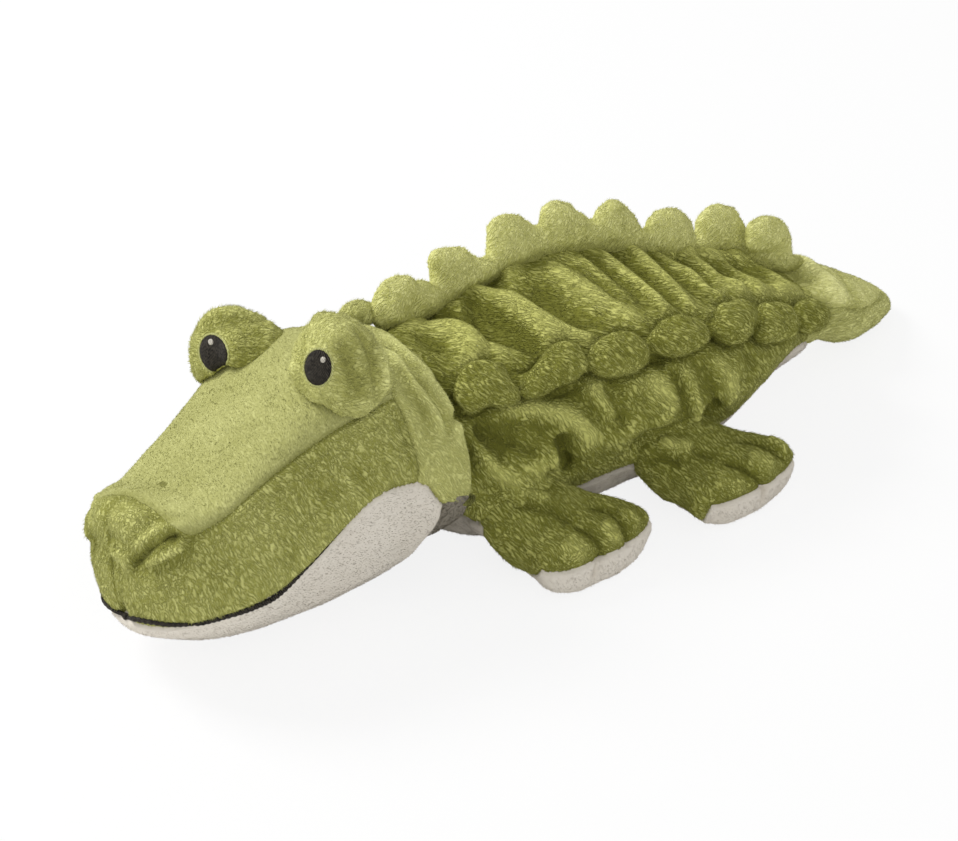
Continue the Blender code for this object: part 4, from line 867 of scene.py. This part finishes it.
def lobe(outline, anchor, facing, thick, seed):
    """A padded half-round, from its outline in the picture and the plane that it stands in."""
    ring = curve_through(list(outline) + [outline[0]], 97)[:-1]
    facing = Vector(facing).normalized()
    corners = []
    for pixel in ring:
        ray = ray_through(pixel)
        away = (Vector(anchor) - camera_place).dot(facing) / ray.dot(facing)
        corners.append(np.array(camera_place + ray * away))
    corners = np.array(corners)
    centre = corners.mean(0)
    first = np.array(facing.orthogonal().normalized())
    second = np.cross(np.array(facing), first)
    flat = np.stack([(corners - centre) @ first, (corners - centre) @ second], axis=1)
    angles = np.arctan2(flat[:, 1], flat[:, 0])
    reach = np.linalg.norm(flat, axis=1)
    bpy.ops.mesh.primitive_uv_sphere_add(segments=48, ring_count=24, radius=1.0)
    piece = bpy.context.object
    points = places(piece)
    turn = np.arctan2(points[:, 1], points[:, 0])
    radius = np.interp(turn, angles, reach, period=2 * math.pi)
    spread = np.hypot(points[:, 0], points[:, 1]) * radius
    moved = (centre + np.outer(spread * np.cos(turn), first) + np.outer(spread * np.sin(turn), second)
             + np.outer(points[:, 2] * thick, np.array(facing)))
    lumps = ripple(moved, 6 * MM, seed)
    set_places(piece, moved + (moved - centre) / np.linalg.norm(moved - centre, axis=1, keepdims=True)
               * (0.7 * MM * lumps)[:, None])
    return piece


def seam_beads(stops, size, count):
    """Small pads along the line that the half-rounds are sewn into, which become its raised cloth."""
    beads = []
    for spot in curve_through(stops, count):
        bpy.ops.mesh.primitive_uv_sphere_add(segments=16, ring_count=8, radius=size, location=spot)
        beads.append(bpy.context.object)
    return beads


# Painted shade on a row of half-rounds near what carries it: how dark it is at contact, and how far it
# reaches.
ROW_SHADE = 1.2
ROW_SHADE_REACH = 2.4 * MM


def lobe_row(name, lobes, finish, way, seed, tree, shadow=0.0):
    """A row of half-rounds as one closed piece with its pile, with painted shade where it meets what carries
    it and, by the given shadow, all over.
    """
    select_only(*lobes)
    if len(lobes) > 1:
        bpy.ops.object.join()
    row = bpy.context.object
    apply_modifier(row, "REMESH", mode="VOXEL", voxel_size=1.3 * MM)
    smoothed(row, 3)
    apply_modifier(row, "SUBSURF", levels=1, render_levels=1)
    points = places(row)
    far_off = np.full(len(points), 1.0)
    hollow = pressed_in(row, points, 0.35 * MM * ripple(points, 3.2 * MM, seed), far_off, 0.0, 1.0)
    gaps = np.array([tree.find_nearest(Vector(point))[3] for point in points])
    hollow = hollow + shadow + ROW_SHADE * np.exp(-(gaps / ROW_SHADE_REACH) ** 2)
    patch = (places(row), outward(row), hollow, quad_corners(row), far_off)
    piece = dressed(name, patch, finish, steady(way), 1.5 * MM, seed, 0.42, way, (1.1, 4.0))
    bpy.data.objects.remove(row)
    return piece


def fanned(stops, way):
    """A lay that runs outwards from the line where the half-rounds are sewn in."""
    stops = np.array(stops)

    def lay(roots):
        gaps = np.linalg.norm(roots[:, None] - stops[None], axis=2)
        away = roots - stops[gaps.argmin(1)]
        return away / np.maximum(np.linalg.norm(away, axis=1, keepdims=True), 1e-6) + 0.6 * np.array(way)
    return lay


near_row, near_stops = [], []
for number, outline in enumerate(NEAR_LOBES):
    spot, spot_way = body_tree.ray_cast(camera_place, ray_through(np.mean(outline, axis=0)))[:2]
    facing = (spot_way + towards_camera * 0.6).normalized()
    middle = spot + facing * NEAR_STANDOFF * MM
    near_row.append(lobe(outline, middle, facing, NEAR_THICKNESS * MM, 20 + number))
    near_stops.append(np.array(spot - facing * MM))
near_row += seam_beads(near_stops, NEAR_SEAM * MM, 110)
# The left row is painted a little darker all over, as painted shade.
piece = lobe_row("scallops_left_skin", near_row, GREEN_PILE, (0.7, 0.55, -0.45), 70, body_tree, 0.1)
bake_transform(piece)
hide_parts("scallop_strip_left")

far_row, far_stops = [], []
UPRIGHT = Vector((0.95, 0.0, 0.30))
for number, outline in enumerate(FAR_LOBES):
    spot, down = None, 0
    while spot is None:
        pixel = (FAR_BASES[number][0], FAR_BASES[number][1] + down)
        spot = body_tree.ray_cast(camera_place, ray_through(pixel))[0]
        down += 1
    far_row.append(lobe(outline, spot, UPRIGHT, FAR_THICKNESS * MM, 40 + number))
    far_stops.append(np.array(spot))
for number, outline in enumerate(FAR_WEBS):
    spot = body_tree.ray_cast(camera_place, ray_through(WEB_BASES[number]))[0]
    far_row.append(lobe(outline, spot, UPRIGHT, WEB_THICKNESS * MM, 60 + number))
row_end = far_stops[-1] + np.array([0.0, 14 * MM, -4 * MM])
far_row += seam_beads(far_stops + [row_end], FAR_SEAM * MM, 110)
piece = lobe_row("scallops_right_skin", far_row, BRIGHTLY_LIT_PILE, (0.3, 0.45, 0.8), 71, body_tree)
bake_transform(piece)
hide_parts("scallop_strip_right")
bpy.data.objects.remove(body_skin)

# The stuffed head with its hood, which comes down over the neck: a light top, green sides that meet
# at the front of the snout, and a white jaw and throat. The nose is a pad with a sewn slit at each end.
HEAD_PANELS = ["head_top_panel", "head_side_left", "head_side_right", "jaw_panel", "neck_hood",
               "throat_panel"]
NECK_PIVOT = Vector((0.0, -0.0582, 0.040))
HEAD_TURN = math.radians(6.0)
HEAD_TILT = math.radians(17.0)
HEAD_ACROSS = (math.cos(HEAD_TURN) * math.cos(HEAD_TILT), math.sin(HEAD_TURN) * math.cos(HEAD_TILT),
               math.sin(HEAD_TILT))
HEAD_MARKS = (
    (0.4, 4.5, [(86, 514), (100, 518), (118, 522), (138, 524), (158, 522)]),
    (-1.1, 2.6, [(92, 546), (104, 553), (116, 563), (126, 571)]),
    (-0.7, 0.8, [(121, 574), (121, 588), (122, 600), (123, 614)]),
    (1.3, 2.6, [(104, 548), (116, 556), (125, 563), (131, 566)]),
    (-4.0, 1.6, [(127, 569), (133, 564), (146, 550), (159, 541), (172, 538), (186, 540)]),
    (1.2, 1.9, [(130, 556), (142, 542), (157, 529), (174, 525), (190, 533)]),
    (1.7, 1.6, [(140, 566), (153, 562), (166, 556), (178, 550), (187, 543)]),
    (-1.5, 1.2, [(124, 574), (140, 572), (156, 567), (172, 560), (184, 552), (192, 541), (206, 529)]),
    (1.8, 2.6, [(377, 347), (391, 355), (407, 370), (417, 385), (430, 400), (441, 420), (450, 445)]),
    (-1.9, 1.4, [(398, 355), (411, 372), (423, 385), (432, 399), (445, 420), (453, 446)]),
    (1.7, 2.2, [(410, 368), (427, 379), (440, 393), (449, 407), (457, 424), (462, 450)]),
    (-1.2, 1.2, [(395, 360), (404, 373), (414, 390), (424, 408), (430, 430)]),
    (1.6, 2.2, [(378, 331), (396, 344), (410, 356), (430, 373), (443, 386), (452, 402)]),
    (-1.0, 1.0, [(386, 400), (396, 418), (404, 436), (411, 458), (416, 478)]),
    (-0.6, 1.6, [(318, 480), (326, 500), (328, 520)]),
    (-0.8, 1.4, [(352, 470), (362, 482), (366, 496)]),
    (0.8, 3.0, [(340, 470), (350, 486), (350, 504)]),
)
head_skin, fields = skin("head_skin", HEAD_PANELS, ["head_stuffing", "nose_pad"], 2.2 * MM,
                         [(NECK_PIVOT, (29 * MM, 29 * MM, 29 * MM))], smoothing=3)
points, rise = folded(head_skin, HEAD_MARKS, surface_tree(head_skin), (NECK_PIVOT, HEAD_ACROSS),
                      lone=(0, 1, 2, 3))
HEAD_RIPPLE = 0.3 * MM
rise += HEAD_RIPPLE * ripple(points, 12 * MM, 5)
# The jaw's cloth reaches further back the higher it goes. The hood comes down over the throat behind it,
# which lies further in and higher.
JAW_MIDDLE_HEIGHT = 17 * MM
JAW_LEAN = 0.76
HOOD_REACH = 7.5 * MM
THROAT_TUCK = 3.0 * MM
THROAT_LIFT = 8.0 * MM
nearest = fields.argmin(1)
jaw, throat, hood = (HEAD_PANELS.index(panel) for panel in ("jaw_panel", "throat_panel", "neck_hood"))
jaw_reach = np.clip((points[:, 2] - JAW_MIDDLE_HEIGHT) * JAW_LEAN, -9 * MM, 10 * MM)
fields[nearest == throat, jaw] -= jaw_reach[nearest == throat]
fields[nearest == jaw, throat] += jaw_reach[nearest == jaw]
fields[nearest == throat, hood] -= HOOD_REACH
fields[nearest == hood, throat] += HOOD_REACH
fields = averaged(fields, edge_pairs(head_skin), 4)
sunk_and_shaded = averaged((fields.argmin(1) == throat).astype(float), edge_pairs(head_skin), 26)
rise -= THROAT_TUCK * sunk_and_shaded
points[:, 2] += THROAT_LIFT * sunk_and_shaded
seams = seam_depths(fields)
# Painted shade in the head's creases and seams and painted light on its crests; the throat is painted darker
# too, as painted shade under the jaw and the hood.
hollow = pressed_in(head_skin, points, rise, seams, *FINE_SEAM) + 0.9 * sunk_and_shaded

MOUTH = [(122, 615), (135, 618.5), (150, 621.5), (167, 624), (183, 624), (199, 623), (214, 619.5),
         (228, 615.5), (245, 610.5), (259, 605), (271, 599.5), (281, 592), (293, 580.5), (305, 569),
         (320, 554), (333, 540), (343, 529)]
head_tree = surface_tree(head_skin)
mouth_near = laid(head_tree, MOUTH, 150)
mouth_far = twin(head_tree, mouth_near, NECK_PIVOT, HEAD_ACROSS)
mouth_line = np.concatenate([mouth_near[::-1], mouth_far])


def mouth_bare(roots):
    """True for pile that would hide the stitched mouth."""
    box = np.all((roots > mouth_line.min(0) - 2 * MM) & (roots < mouth_line.max(0) + 2 * MM), axis=1)
    covered = np.zeros(len(roots), bool)
    spots = np.flatnonzero(box)
    for start in range(0, len(spots), 4000):
        part = spots[start:start + 4000]
        covered[part] = np.linalg.norm(roots[part, None] - mouth_line[None, ::2], axis=2).min(1) < 0.9 * MM
    return covered


# The sides of the head and the hood take copies of the body's green pile painted lighter, the hood's the most,
# as painted light where the light falls on them.
MID_PILE = pile_finish("head_side_minky", (0.170, 0.172, 0.034, 1.0), (0.310, 0.312, 0.066, 1.0),
                       (0.690, 0.690, 0.250, 1.0), 1.3, 0.9)
HOOD_PILE = pile_finish("hood_minky", (0.220, 0.220, 0.050, 1.0), (0.465, 0.465, 0.133, 1.0),
                        (0.820, 0.820, 0.330, 1.0), 1.0, 0.8)
TOP_PILE = pile_finish("head_top_minky", (0.200, 0.200, 0.045, 1.0), (0.350, 0.350, 0.105, 1.0),
                       (0.650, 0.650, 0.275, 1.0), 0.6, 0.45)

# Each panel: its cloth, its slot, and the lay, length, lift and locks of its pile.
HEAD_FINISHES = {"head_top_panel": (TOP_PILE, "light_green_pile", (1.0, -0.15, -0.1), 1.2, 0.28, (0.8, 3.0)),
                 "head_side_left": (MID_PILE, "green_pile", (0.0, 0.42, -0.91), 1.5, 0.32, (1.15, 4.5)),
                 "head_side_right": (MID_PILE, "green_pile", (0.0, 0.42, -0.91), 1.5, 0.32, (1.15, 4.5)),
                 "jaw_panel": (WHITE_PILE, "white_pile", (0.0, 1.0, -0.2), 1.1, 0.28, (1.6, 5.0)),
                 "neck_hood": (HOOD_PILE, "green_pile", (0.1, 0.55, -0.83), 1.2, 0.30, (0.9, 3.5)),
                 "throat_panel": (SHADED_WHITE_PILE, "white_pile", (0.0, 1.0, 0.0), 1.1, 0.28, (1.6, 5.0))}
HEAD_HIDDEN = {"head_top_panel": ["head_stuffing", "nose_pad"]}
for number, (panel, patch) in enumerate(split_panels(head_skin, HEAD_PANELS, fields, hollow, seams).items()):
    finish, slot_name, flow, length, lift, locks = HEAD_FINISHES[panel]
    piece = dressed(panel.replace("_panel", "") + "_skin", patch, finish, steady(flow), length * MM,
                    30 + number, lift, flow, locks, mouth_bare)
    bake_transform(piece)
    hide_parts(panel, *HEAD_HIDDEN.get(panel, []))
bpy.data.objects.remove(head_skin)

# The mouth: one thick line of black satin stitch along the seam between the sides and the jaw.
# It runs from cheek to cheek round the front of the snout, and thins out at its ends.
THREAD_PITCH = 0.42 * MM
# The line thins out over this share of its length at each end, and its stitches differ this much in width.
THREAD_END = 0.12
THREAD_UNEVEN = 0.18


def thread_finish(name, colour, gap_shade):
    """Close satin stitch: fine ridges of thread, with painted shade in the gaps between them."""
    finish = Finish(name)
    place = finish.node("ShaderNodeTexCoord", output="Object")
    ridges = finish.node("ShaderNodeTexWave", {"bands_direction": "DIAGONAL"},
                         {"Vector": place, "Scale": 0.3 / THREAD_PITCH, "Distortion": 2.5, "Detail": 2.0,
                          "Detail Scale": 1.5}, "Fac")
    height = finish.held((ridges * 0.5 + finish.noise(0.8 * MM, 3.0) - 0.60) * 3.2)
    finish.feed(finish.shader.inputs["Base Color"], finish.mixed(height, gap_shade, colour))
    bump = finish.node("ShaderNodeBump", {}, {"Strength": 0.8, "Distance": 0.25 * MM, "Height": height})
    finish.feed(finish.shader.inputs["Normal"], bump)
    finish.shader.inputs["Roughness"].default_value = 0.7
    finish.shader.inputs["Specular IOR Level"].default_value = 0.12
    return finish.material


BLACK_THREAD = thread_finish("black_thread", (0.075, 0.066, 0.052, 1.0), (0.006, 0.005, 0.005, 1.0))
CREAM_THREAD = thread_finish("cream_thread", (0.80, 0.76, 0.68, 1.0), (0.50, 0.46, 0.38, 1.0))
RING_THREAD = thread_finish("light_green_thread", (0.62, 0.62, 0.27, 1.0), (0.38, 0.39, 0.12, 1.0))


def faced_outwards(piece):
    """Turns all the faces of a closed piece outwards."""
    select_only(piece)
    bpy.ops.object.mode_set(mode="EDIT")
    bpy.ops.mesh.select_all(action="SELECT")
    bpy.ops.mesh.normals_make_consistent(inside=False)
    bpy.ops.object.mode_set(mode="OBJECT")
    return piece


def stitched_line(name, tree, line, half_width, finish, ends=0.25):
    """A flattened tube of stitches along a line on a surface."""
    line = np.array(line)
    for _ in range(3):
        line[1:-1] = 0.25 * line[:-2] + 0.5 * line[1:-1] + 0.25 * line[2:]
    found = [tree.find_nearest(Vector(point)) for point in line]
    centres = np.array([hit[0] for hit in found])
    out = np.array([hit[1] for hit in found])
    along = np.gradient(centres, axis=0)
    along /= np.maximum(np.linalg.norm(along, axis=1, keepdims=True), 1e-9)
    out -= along * np.sum(out * along, axis=1, keepdims=True)
    out /= np.linalg.norm(out, axis=1, keepdims=True)
    side = np.cross(along, out)
    share = np.linspace(0, 1, len(centres))
    thin = np.clip(np.minimum(share, 1 - share) / THREAD_END, ends, 1)
    thin = thin * (1 + THREAD_UNEVEN * np.sin(np.arange(len(share)) * 1.9))
    girth = (half_width * thin)[:, None, None]
    angles = np.arange(8) * math.pi / 4
    rings = (centres[:, None] + side[:, None] * np.cos(angles)[None, :, None] * girth
             + out[:, None] * (np.sin(angles) * 0.55 + 0.25)[None, :, None] * girth)
    points = rings.reshape(-1, 3)
    quads = []
    for step in range(len(centres) - 1):
        for turn in range(8):
            first, second = step * 8 + turn, step * 8 + (turn + 1) % 8
            quads.append((first, first + 8, second + 8, second))
    last = len(points)
    caps = [(turn, (turn + 1) % 8, last) for turn in range(8)]
    caps += [(last - 8 + (turn + 1) % 8, last - 8 + turn, last + 1) for turn in range(8)]
    return faced_outwards(build_piece(name, np.concatenate([points, centres[[0, -1]]]), quads, caps, finish))


piece = stitched_line("mouth_stitches", head_tree, mouth_line, 0.95 * MM, BLACK_THREAD)
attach(piece, "head")
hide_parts("mouth_line")

# The two small half-rounds on the nape, behind the right eye, cut and filled like those of the rows.
NAPE_LOBES = ([(311, 326), (315, 316), (321, 312.5), (329, 311), (335, 315), (335, 325), (323, 331)],
              [(337, 322), (344, 308), (355.7, 300.5), (364, 301), (373, 305), (376, 316), (366, 328),
               (350, 330)])
low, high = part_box("nape_scallops_right")
nape_place = (Vector(low) + Vector(high)) / 2
nape = [lobe(outline, nape_place, UPRIGHT, NAPE_THICKNESS * MM, 60 + number)
        for number, outline in enumerate(NAPE_LOBES)]
piece = lobe_row("nape_scallops_skin", nape, LIT_GREEN_PILE, (0.2, 0.45, 0.8), 72, head_tree)
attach(piece, "head")
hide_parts("nape_scallops_right")

# The eyes: a padded dome of green pile for each, and on its flattened front an oval of black satin
# stitch in a thin light ring, with a small cream highlight stitched on top.
DOME_MARKS = {"left": ((2.3, 2.0, [(338, 318), (356, 321), (370, 332), (379, 350), (383, 372), (384, 396)]),
                       (-2.0, 1.7, [(350, 330), (362, 340), (371, 356), (376, 374), (377, 394)]),
                       (-2.8, 3.2, [(336, 342), (344, 356), (350, 372), (358, 388), (370, 400)]),
                       (1.2, 2.2, [(312, 322), (300, 330), (292, 343), (290, 358), (296, 376)]),
                       (-1.2, 1.6, [(314, 334), (305, 343), (301, 356), (302, 370), (310, 386)])),
              "right": ((1.4, 2.2, [(192, 338), (197, 322), (216, 311), (238, 311), (260, 319), (276, 328)]),
                        (-1.4, 1.8, [(200, 343), (207, 331), (222, 323), (240, 326), (256, 333), (272, 340)]),
                        (-1.2, 2.4, [(234, 346), (246, 350), (262, 348)]))}
# The domes run out along the head behind each eye: where in the picture, and how large in millimetres.
DOME_TAILS = {"left": (((366, 380), (8, 9, 8)),), "right": (((254, 346), (9, 12, 7)),)}
# How much taller each dome stands than its padding alone makes it, above its foot.
DOME_LIFT = {"left": 0.13, "right": 0.0}
DOME_FOOT = 10 * MM
# Each eye: the middle of its oval, its half width and half height, its lean, and its highlight.
EYE_OVALS = {"left": ((318.3, 367.5), 13.4, 17.8, 2.0, (323.5, 359.6)),
             "right": ((214.0, 353.3), 13.4, 18.6, -14.0, (211.8, 342.5))}
HIGHLIGHT_SIZE = (2.7, 3.4)


def oval_ring(centre, half_width, half_height, lean, count):
    """The rim of an oval in the picture."""
    angles = np.arange(count) * 2 * math.pi / count
    across, down = half_width * np.cos(angles), half_height * np.sin(angles)
    turn = math.radians(lean)
    return np.stack([centre[0] + across * math.cos(turn) - down * math.sin(turn),
                     centre[1] + across * math.sin(turn) + down * math.cos(turn)], axis=1)


def stitched_oval(name, tree, centre, half_width, half_height, lean, thick, finish):
    """A slightly crowned patch of stitches on a surface, closed at its back."""
    rim = oval_ring(centre, half_width, half_height, lean, 48)
    centre = np.array(centre)
    hits = [tree.ray_cast(camera_place, ray_through(centre))]
    rises = [thick]
    for share in np.linspace(0, 1, 9)[1:]:
        hits += [tree.ray_cast(camera_place, ray_through(centre + (pixel - centre) * share)) for pixel in rim]
        rises += [thick * (1 - share ** 6 * 0.6)] * len(rim)
    spots, ways = np.array([hit[0] for hit in hits]), np.array([hit[1] for hit in hits])
    mean_way = ways.mean(0) / np.linalg.norm(ways.mean(0))
    top = spots + mean_way * np.array(rises)[:, None]
    count = len(top)
    quads, caps = [], []
    for turn in range(48):
        after = (turn + 1) % 48
        caps += [(0, 1 + after, 1 + turn), (count, count + 1 + turn, count + 1 + after)]
        for ring in range(7):
            first, second = 1 + ring * 48 + turn, 1 + ring * 48 + after
            quads += [(first, second, second + 48, first + 48),
                      (count + first, count + first + 48, count + second + 48, count + second)]
        first, second = 1 + 7 * 48 + turn, 1 + 7 * 48 + after
        quads.append((first, second, count + second, count + first))
    points = np.concatenate([top, spots - mean_way * 0.8 * MM])
    return faced_outwards(build_piece(name, points, quads, caps, finish))


for number, side_name in enumerate(("left", "right")):
    pads = [(head_tree.ray_cast(camera_place, ray_through(pixel))[0], Vector(size) * MM)
            for pixel, size in DOME_TAILS[side_name]]
    dome, fields = skin("dome", ["eye_dome_" + side_name], [], 1.5 * MM, pads, smoothing=6, levels=1)
    points, rise = folded(dome, DOME_MARKS[side_name], surface_tree(dome))
    points[:, 2] += DOME_LIFT[side_name] * np.clip(points[:, 2] - points[:, 2].min() - DOME_FOOT, 0, None)
    far_off = np.full(len(points), 1.0)
    # Painted shade in the dome's creases, and painted light on its crests.
    hollow = pressed_in(dome, points, rise + 0.3 * MM * ripple(points, 4 * MM, 8), far_off, 0.0, 1.0)
    dome_tree = surface_tree(dome)
    centre, half_width, half_height, lean, highlight = EYE_OVALS[side_name]

    def oval_bare(roots):
        """True for pile that would hide the stitched oval."""
        turn = math.radians(lean)
        apart = pixels_of(roots) - np.array(centre)
        across = apart[:, 0] * math.cos(turn) + apart[:, 1] * math.sin(turn)
        down = -apart[:, 0] * math.sin(turn) + apart[:, 1] * math.cos(turn)
        return (across / (half_width + 3)) ** 2 + (down / (half_height + 3)) ** 2 < 1

    patch = (places(dome), outward(dome), hollow, quad_corners(dome), far_off)
    spot = np.array(dome_tree.ray_cast(camera_place, ray_through(centre))[0])
    # The near dome takes the hood's lighter copy of the pile and the far dome the sides' copy, as painted
    # light.
    piece = dressed("eye_dome_skin_" + side_name, patch, HOOD_PILE if side_name == "left" else MID_PILE,
                    fanned([spot], (0.2, 0.5, 0.2)), 1.7 * MM, 80 + number, 0.42, (0.3, 0.7, -0.2),
                    (1.2, 3.0), oval_bare)
    bpy.data.objects.remove(dome)
    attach(piece, "head")
    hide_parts("eye_dome_" + side_name)
    piece = stitched_oval("eye_oval_" + side_name, dome_tree, centre, half_width, half_height, lean, 0.7 * MM,
                          BLACK_THREAD)
    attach(piece, "head")
    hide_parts("eye_" + side_name)
    piece = stitched_oval("eye_highlight_" + side_name, dome_tree, highlight, *HIGHLIGHT_SIZE, lean,
                          1.05 * MM, CREAM_THREAD)
    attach(piece, "head")
    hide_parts("eye_glint_" + side_name)
    rim = oval_ring(centre, half_width + 1.2, half_height + 1.2, lean, 72)
    ring = np.array([dome_tree.ray_cast(camera_place, ray_through(pixel))[0] for pixel in rim])
    closed_ring = np.concatenate([ring, ring[:2]])
    piece = stitched_line("eye_ring_" + side_name, dome_tree, closed_ring, 0.42 * MM, RING_THREAD, ends=1.0)
    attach(piece, "head")

# The four legs: a green top and a white sole each, loosely filled, with the toes drawn in by two
# lines of stitching over the paw. The sole stands out under the toes in three soft bulges.
LEG_MARKS = {
    "front": ((-2.2, 1.1, [(584, 507), (597, 507), (609, 510.5), (620, 519), (628, 538), (631, 552)]),
              (-2.2, 1.2, [(567, 523), (578, 527), (589, 532.5), (599, 543), (604, 555), (600, 572)]),
              (1.2, 3.6, [(600, 520), (612, 532), (617, 546)]),
              (1.2, 4.0, [(560, 540), (575, 548), (588, 556)]),
              (1.0, 2.8, [(615, 508), (630, 516), (640, 528)]),
              (-1.6, 2.0, [(545, 503), (560, 516), (574, 522)]),
              (1.4, 2.6, [(505, 485), (530, 492), (552, 500)]),
              (-1.4, 1.8, [(508, 505), (530, 506), (552, 510)]),
              (-1.5, 1.1, [(603, 550), (599, 562), (596, 574), (594, 584)])),
    "rear": ((-2.2, 1.1, [(730, 441), (742, 440), (756, 441.5), (770, 447), (782, 457), (790, 470)]),
             (-2.2, 1.2, [(718, 461), (730, 463), (742, 467), (756, 477), (765, 489), (766, 505)]),
             (1.2, 3.6, [(745, 452), (762, 460), (774, 472)]),
             (1.2, 4.0, [(712, 480), (730, 482), (746, 490)]),
             (1.0, 2.8, [(765, 436), (780, 442), (788, 450)]),
             (-1.8, 2.0, [(690, 448), (702, 453), (716, 458)]),
             (1.6, 2.6, [(655, 438), (675, 446), (695, 444)]),
             (-1.6, 1.8, [(640, 462), (662, 460), (684, 462)]),
             (-1.5, 1.1, [(767, 484), (765, 494), (763, 504), (761, 514)]))}
SOLE_RISE = {"front": 3.4 * MM, "rear": 2.8 * MM}
# Where in the picture the white sole begins to stand out under the toes of the left legs, and over how
# many pixels it does so. Behind that it is tucked in under the leg.
SOLE_START = {"front": 530, "rear": 702}
SOLE_EDGE = 10
SOLE_TUCK = 4.5 * MM
leg_lines = {}
for number, place_name in enumerate(("front_left", "front_right", "rear_left", "rear_right")):
    end, side_name = place_name.split("_")
    sign = 1 if side_name == "left" else -1
    leg_body = place_name + "_leg"
    panels = ["leg_" + place_name, "sole_" + place_name]
    leg_skin, fields = skin("leg_skin", panels, ["leg_stuffing_" + place_name], 1.9 * MM, smoothing=4)
    leg_tree = surface_tree(leg_skin)
    points, ways = places(leg_skin), outward(leg_skin)
    rise = 0.4 * MM * ripple(points, 8 * MM, 5 + number)
    for order, (height, width, pixels) in enumerate(LEG_MARKS[end]):
        if sign > 0:
            leg_lines[end, order] = laid(leg_tree, pixels)
        line = leg_lines[end, order]
        if sign < 0 and len(line):
            line = twin(leg_tree, line, *MIDDLE_PLANE)
        rise += raised(points, ways, line, height * MM, width * MM, height < 0)
    across = pixels_of(points * np.array([sign, 1, 1]))[:, 0]
    toe_share = np.clip((across - SOLE_START[end]) / SOLE_EDGE, 0, 1)
    fields[:, 1] -= (SOLE_RISE[end] + SOLE_TUCK) * toe_share - SOLE_TUCK
    seams = seam_depths(fields)
    # The legs are painted a little darker all over, as painted shade, besides the painted shade of their folds
    # and seams.
    hollow = pressed_in(leg_skin, points, rise, seams, *FINE_SEAM) + 0.1
    centre = leg_centres[leg_body]
    for order, (panel, patch) in enumerate(split_panels(leg_skin, panels, fields, hollow, seams).items()):
        finish, slot_name = (GREEN_PILE, "green_pile") if order == 0 else (WHITE_PILE, "white_pile")
        flow = (sign * 1.0, 0.2, -0.3)
        piece = dressed(panel + "_skin", patch, finish, steady(flow), (1.5 if order == 0 else 1.1) * MM,
                        50 + 2 * number + order, 0.38 if order == 0 else 0.3, flow, (1.0, 3.5))
        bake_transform(piece)
        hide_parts(panel, *(["leg_stuffing_" + place_name] if order == 0 else []))
    bpy.data.objects.remove(leg_skin)
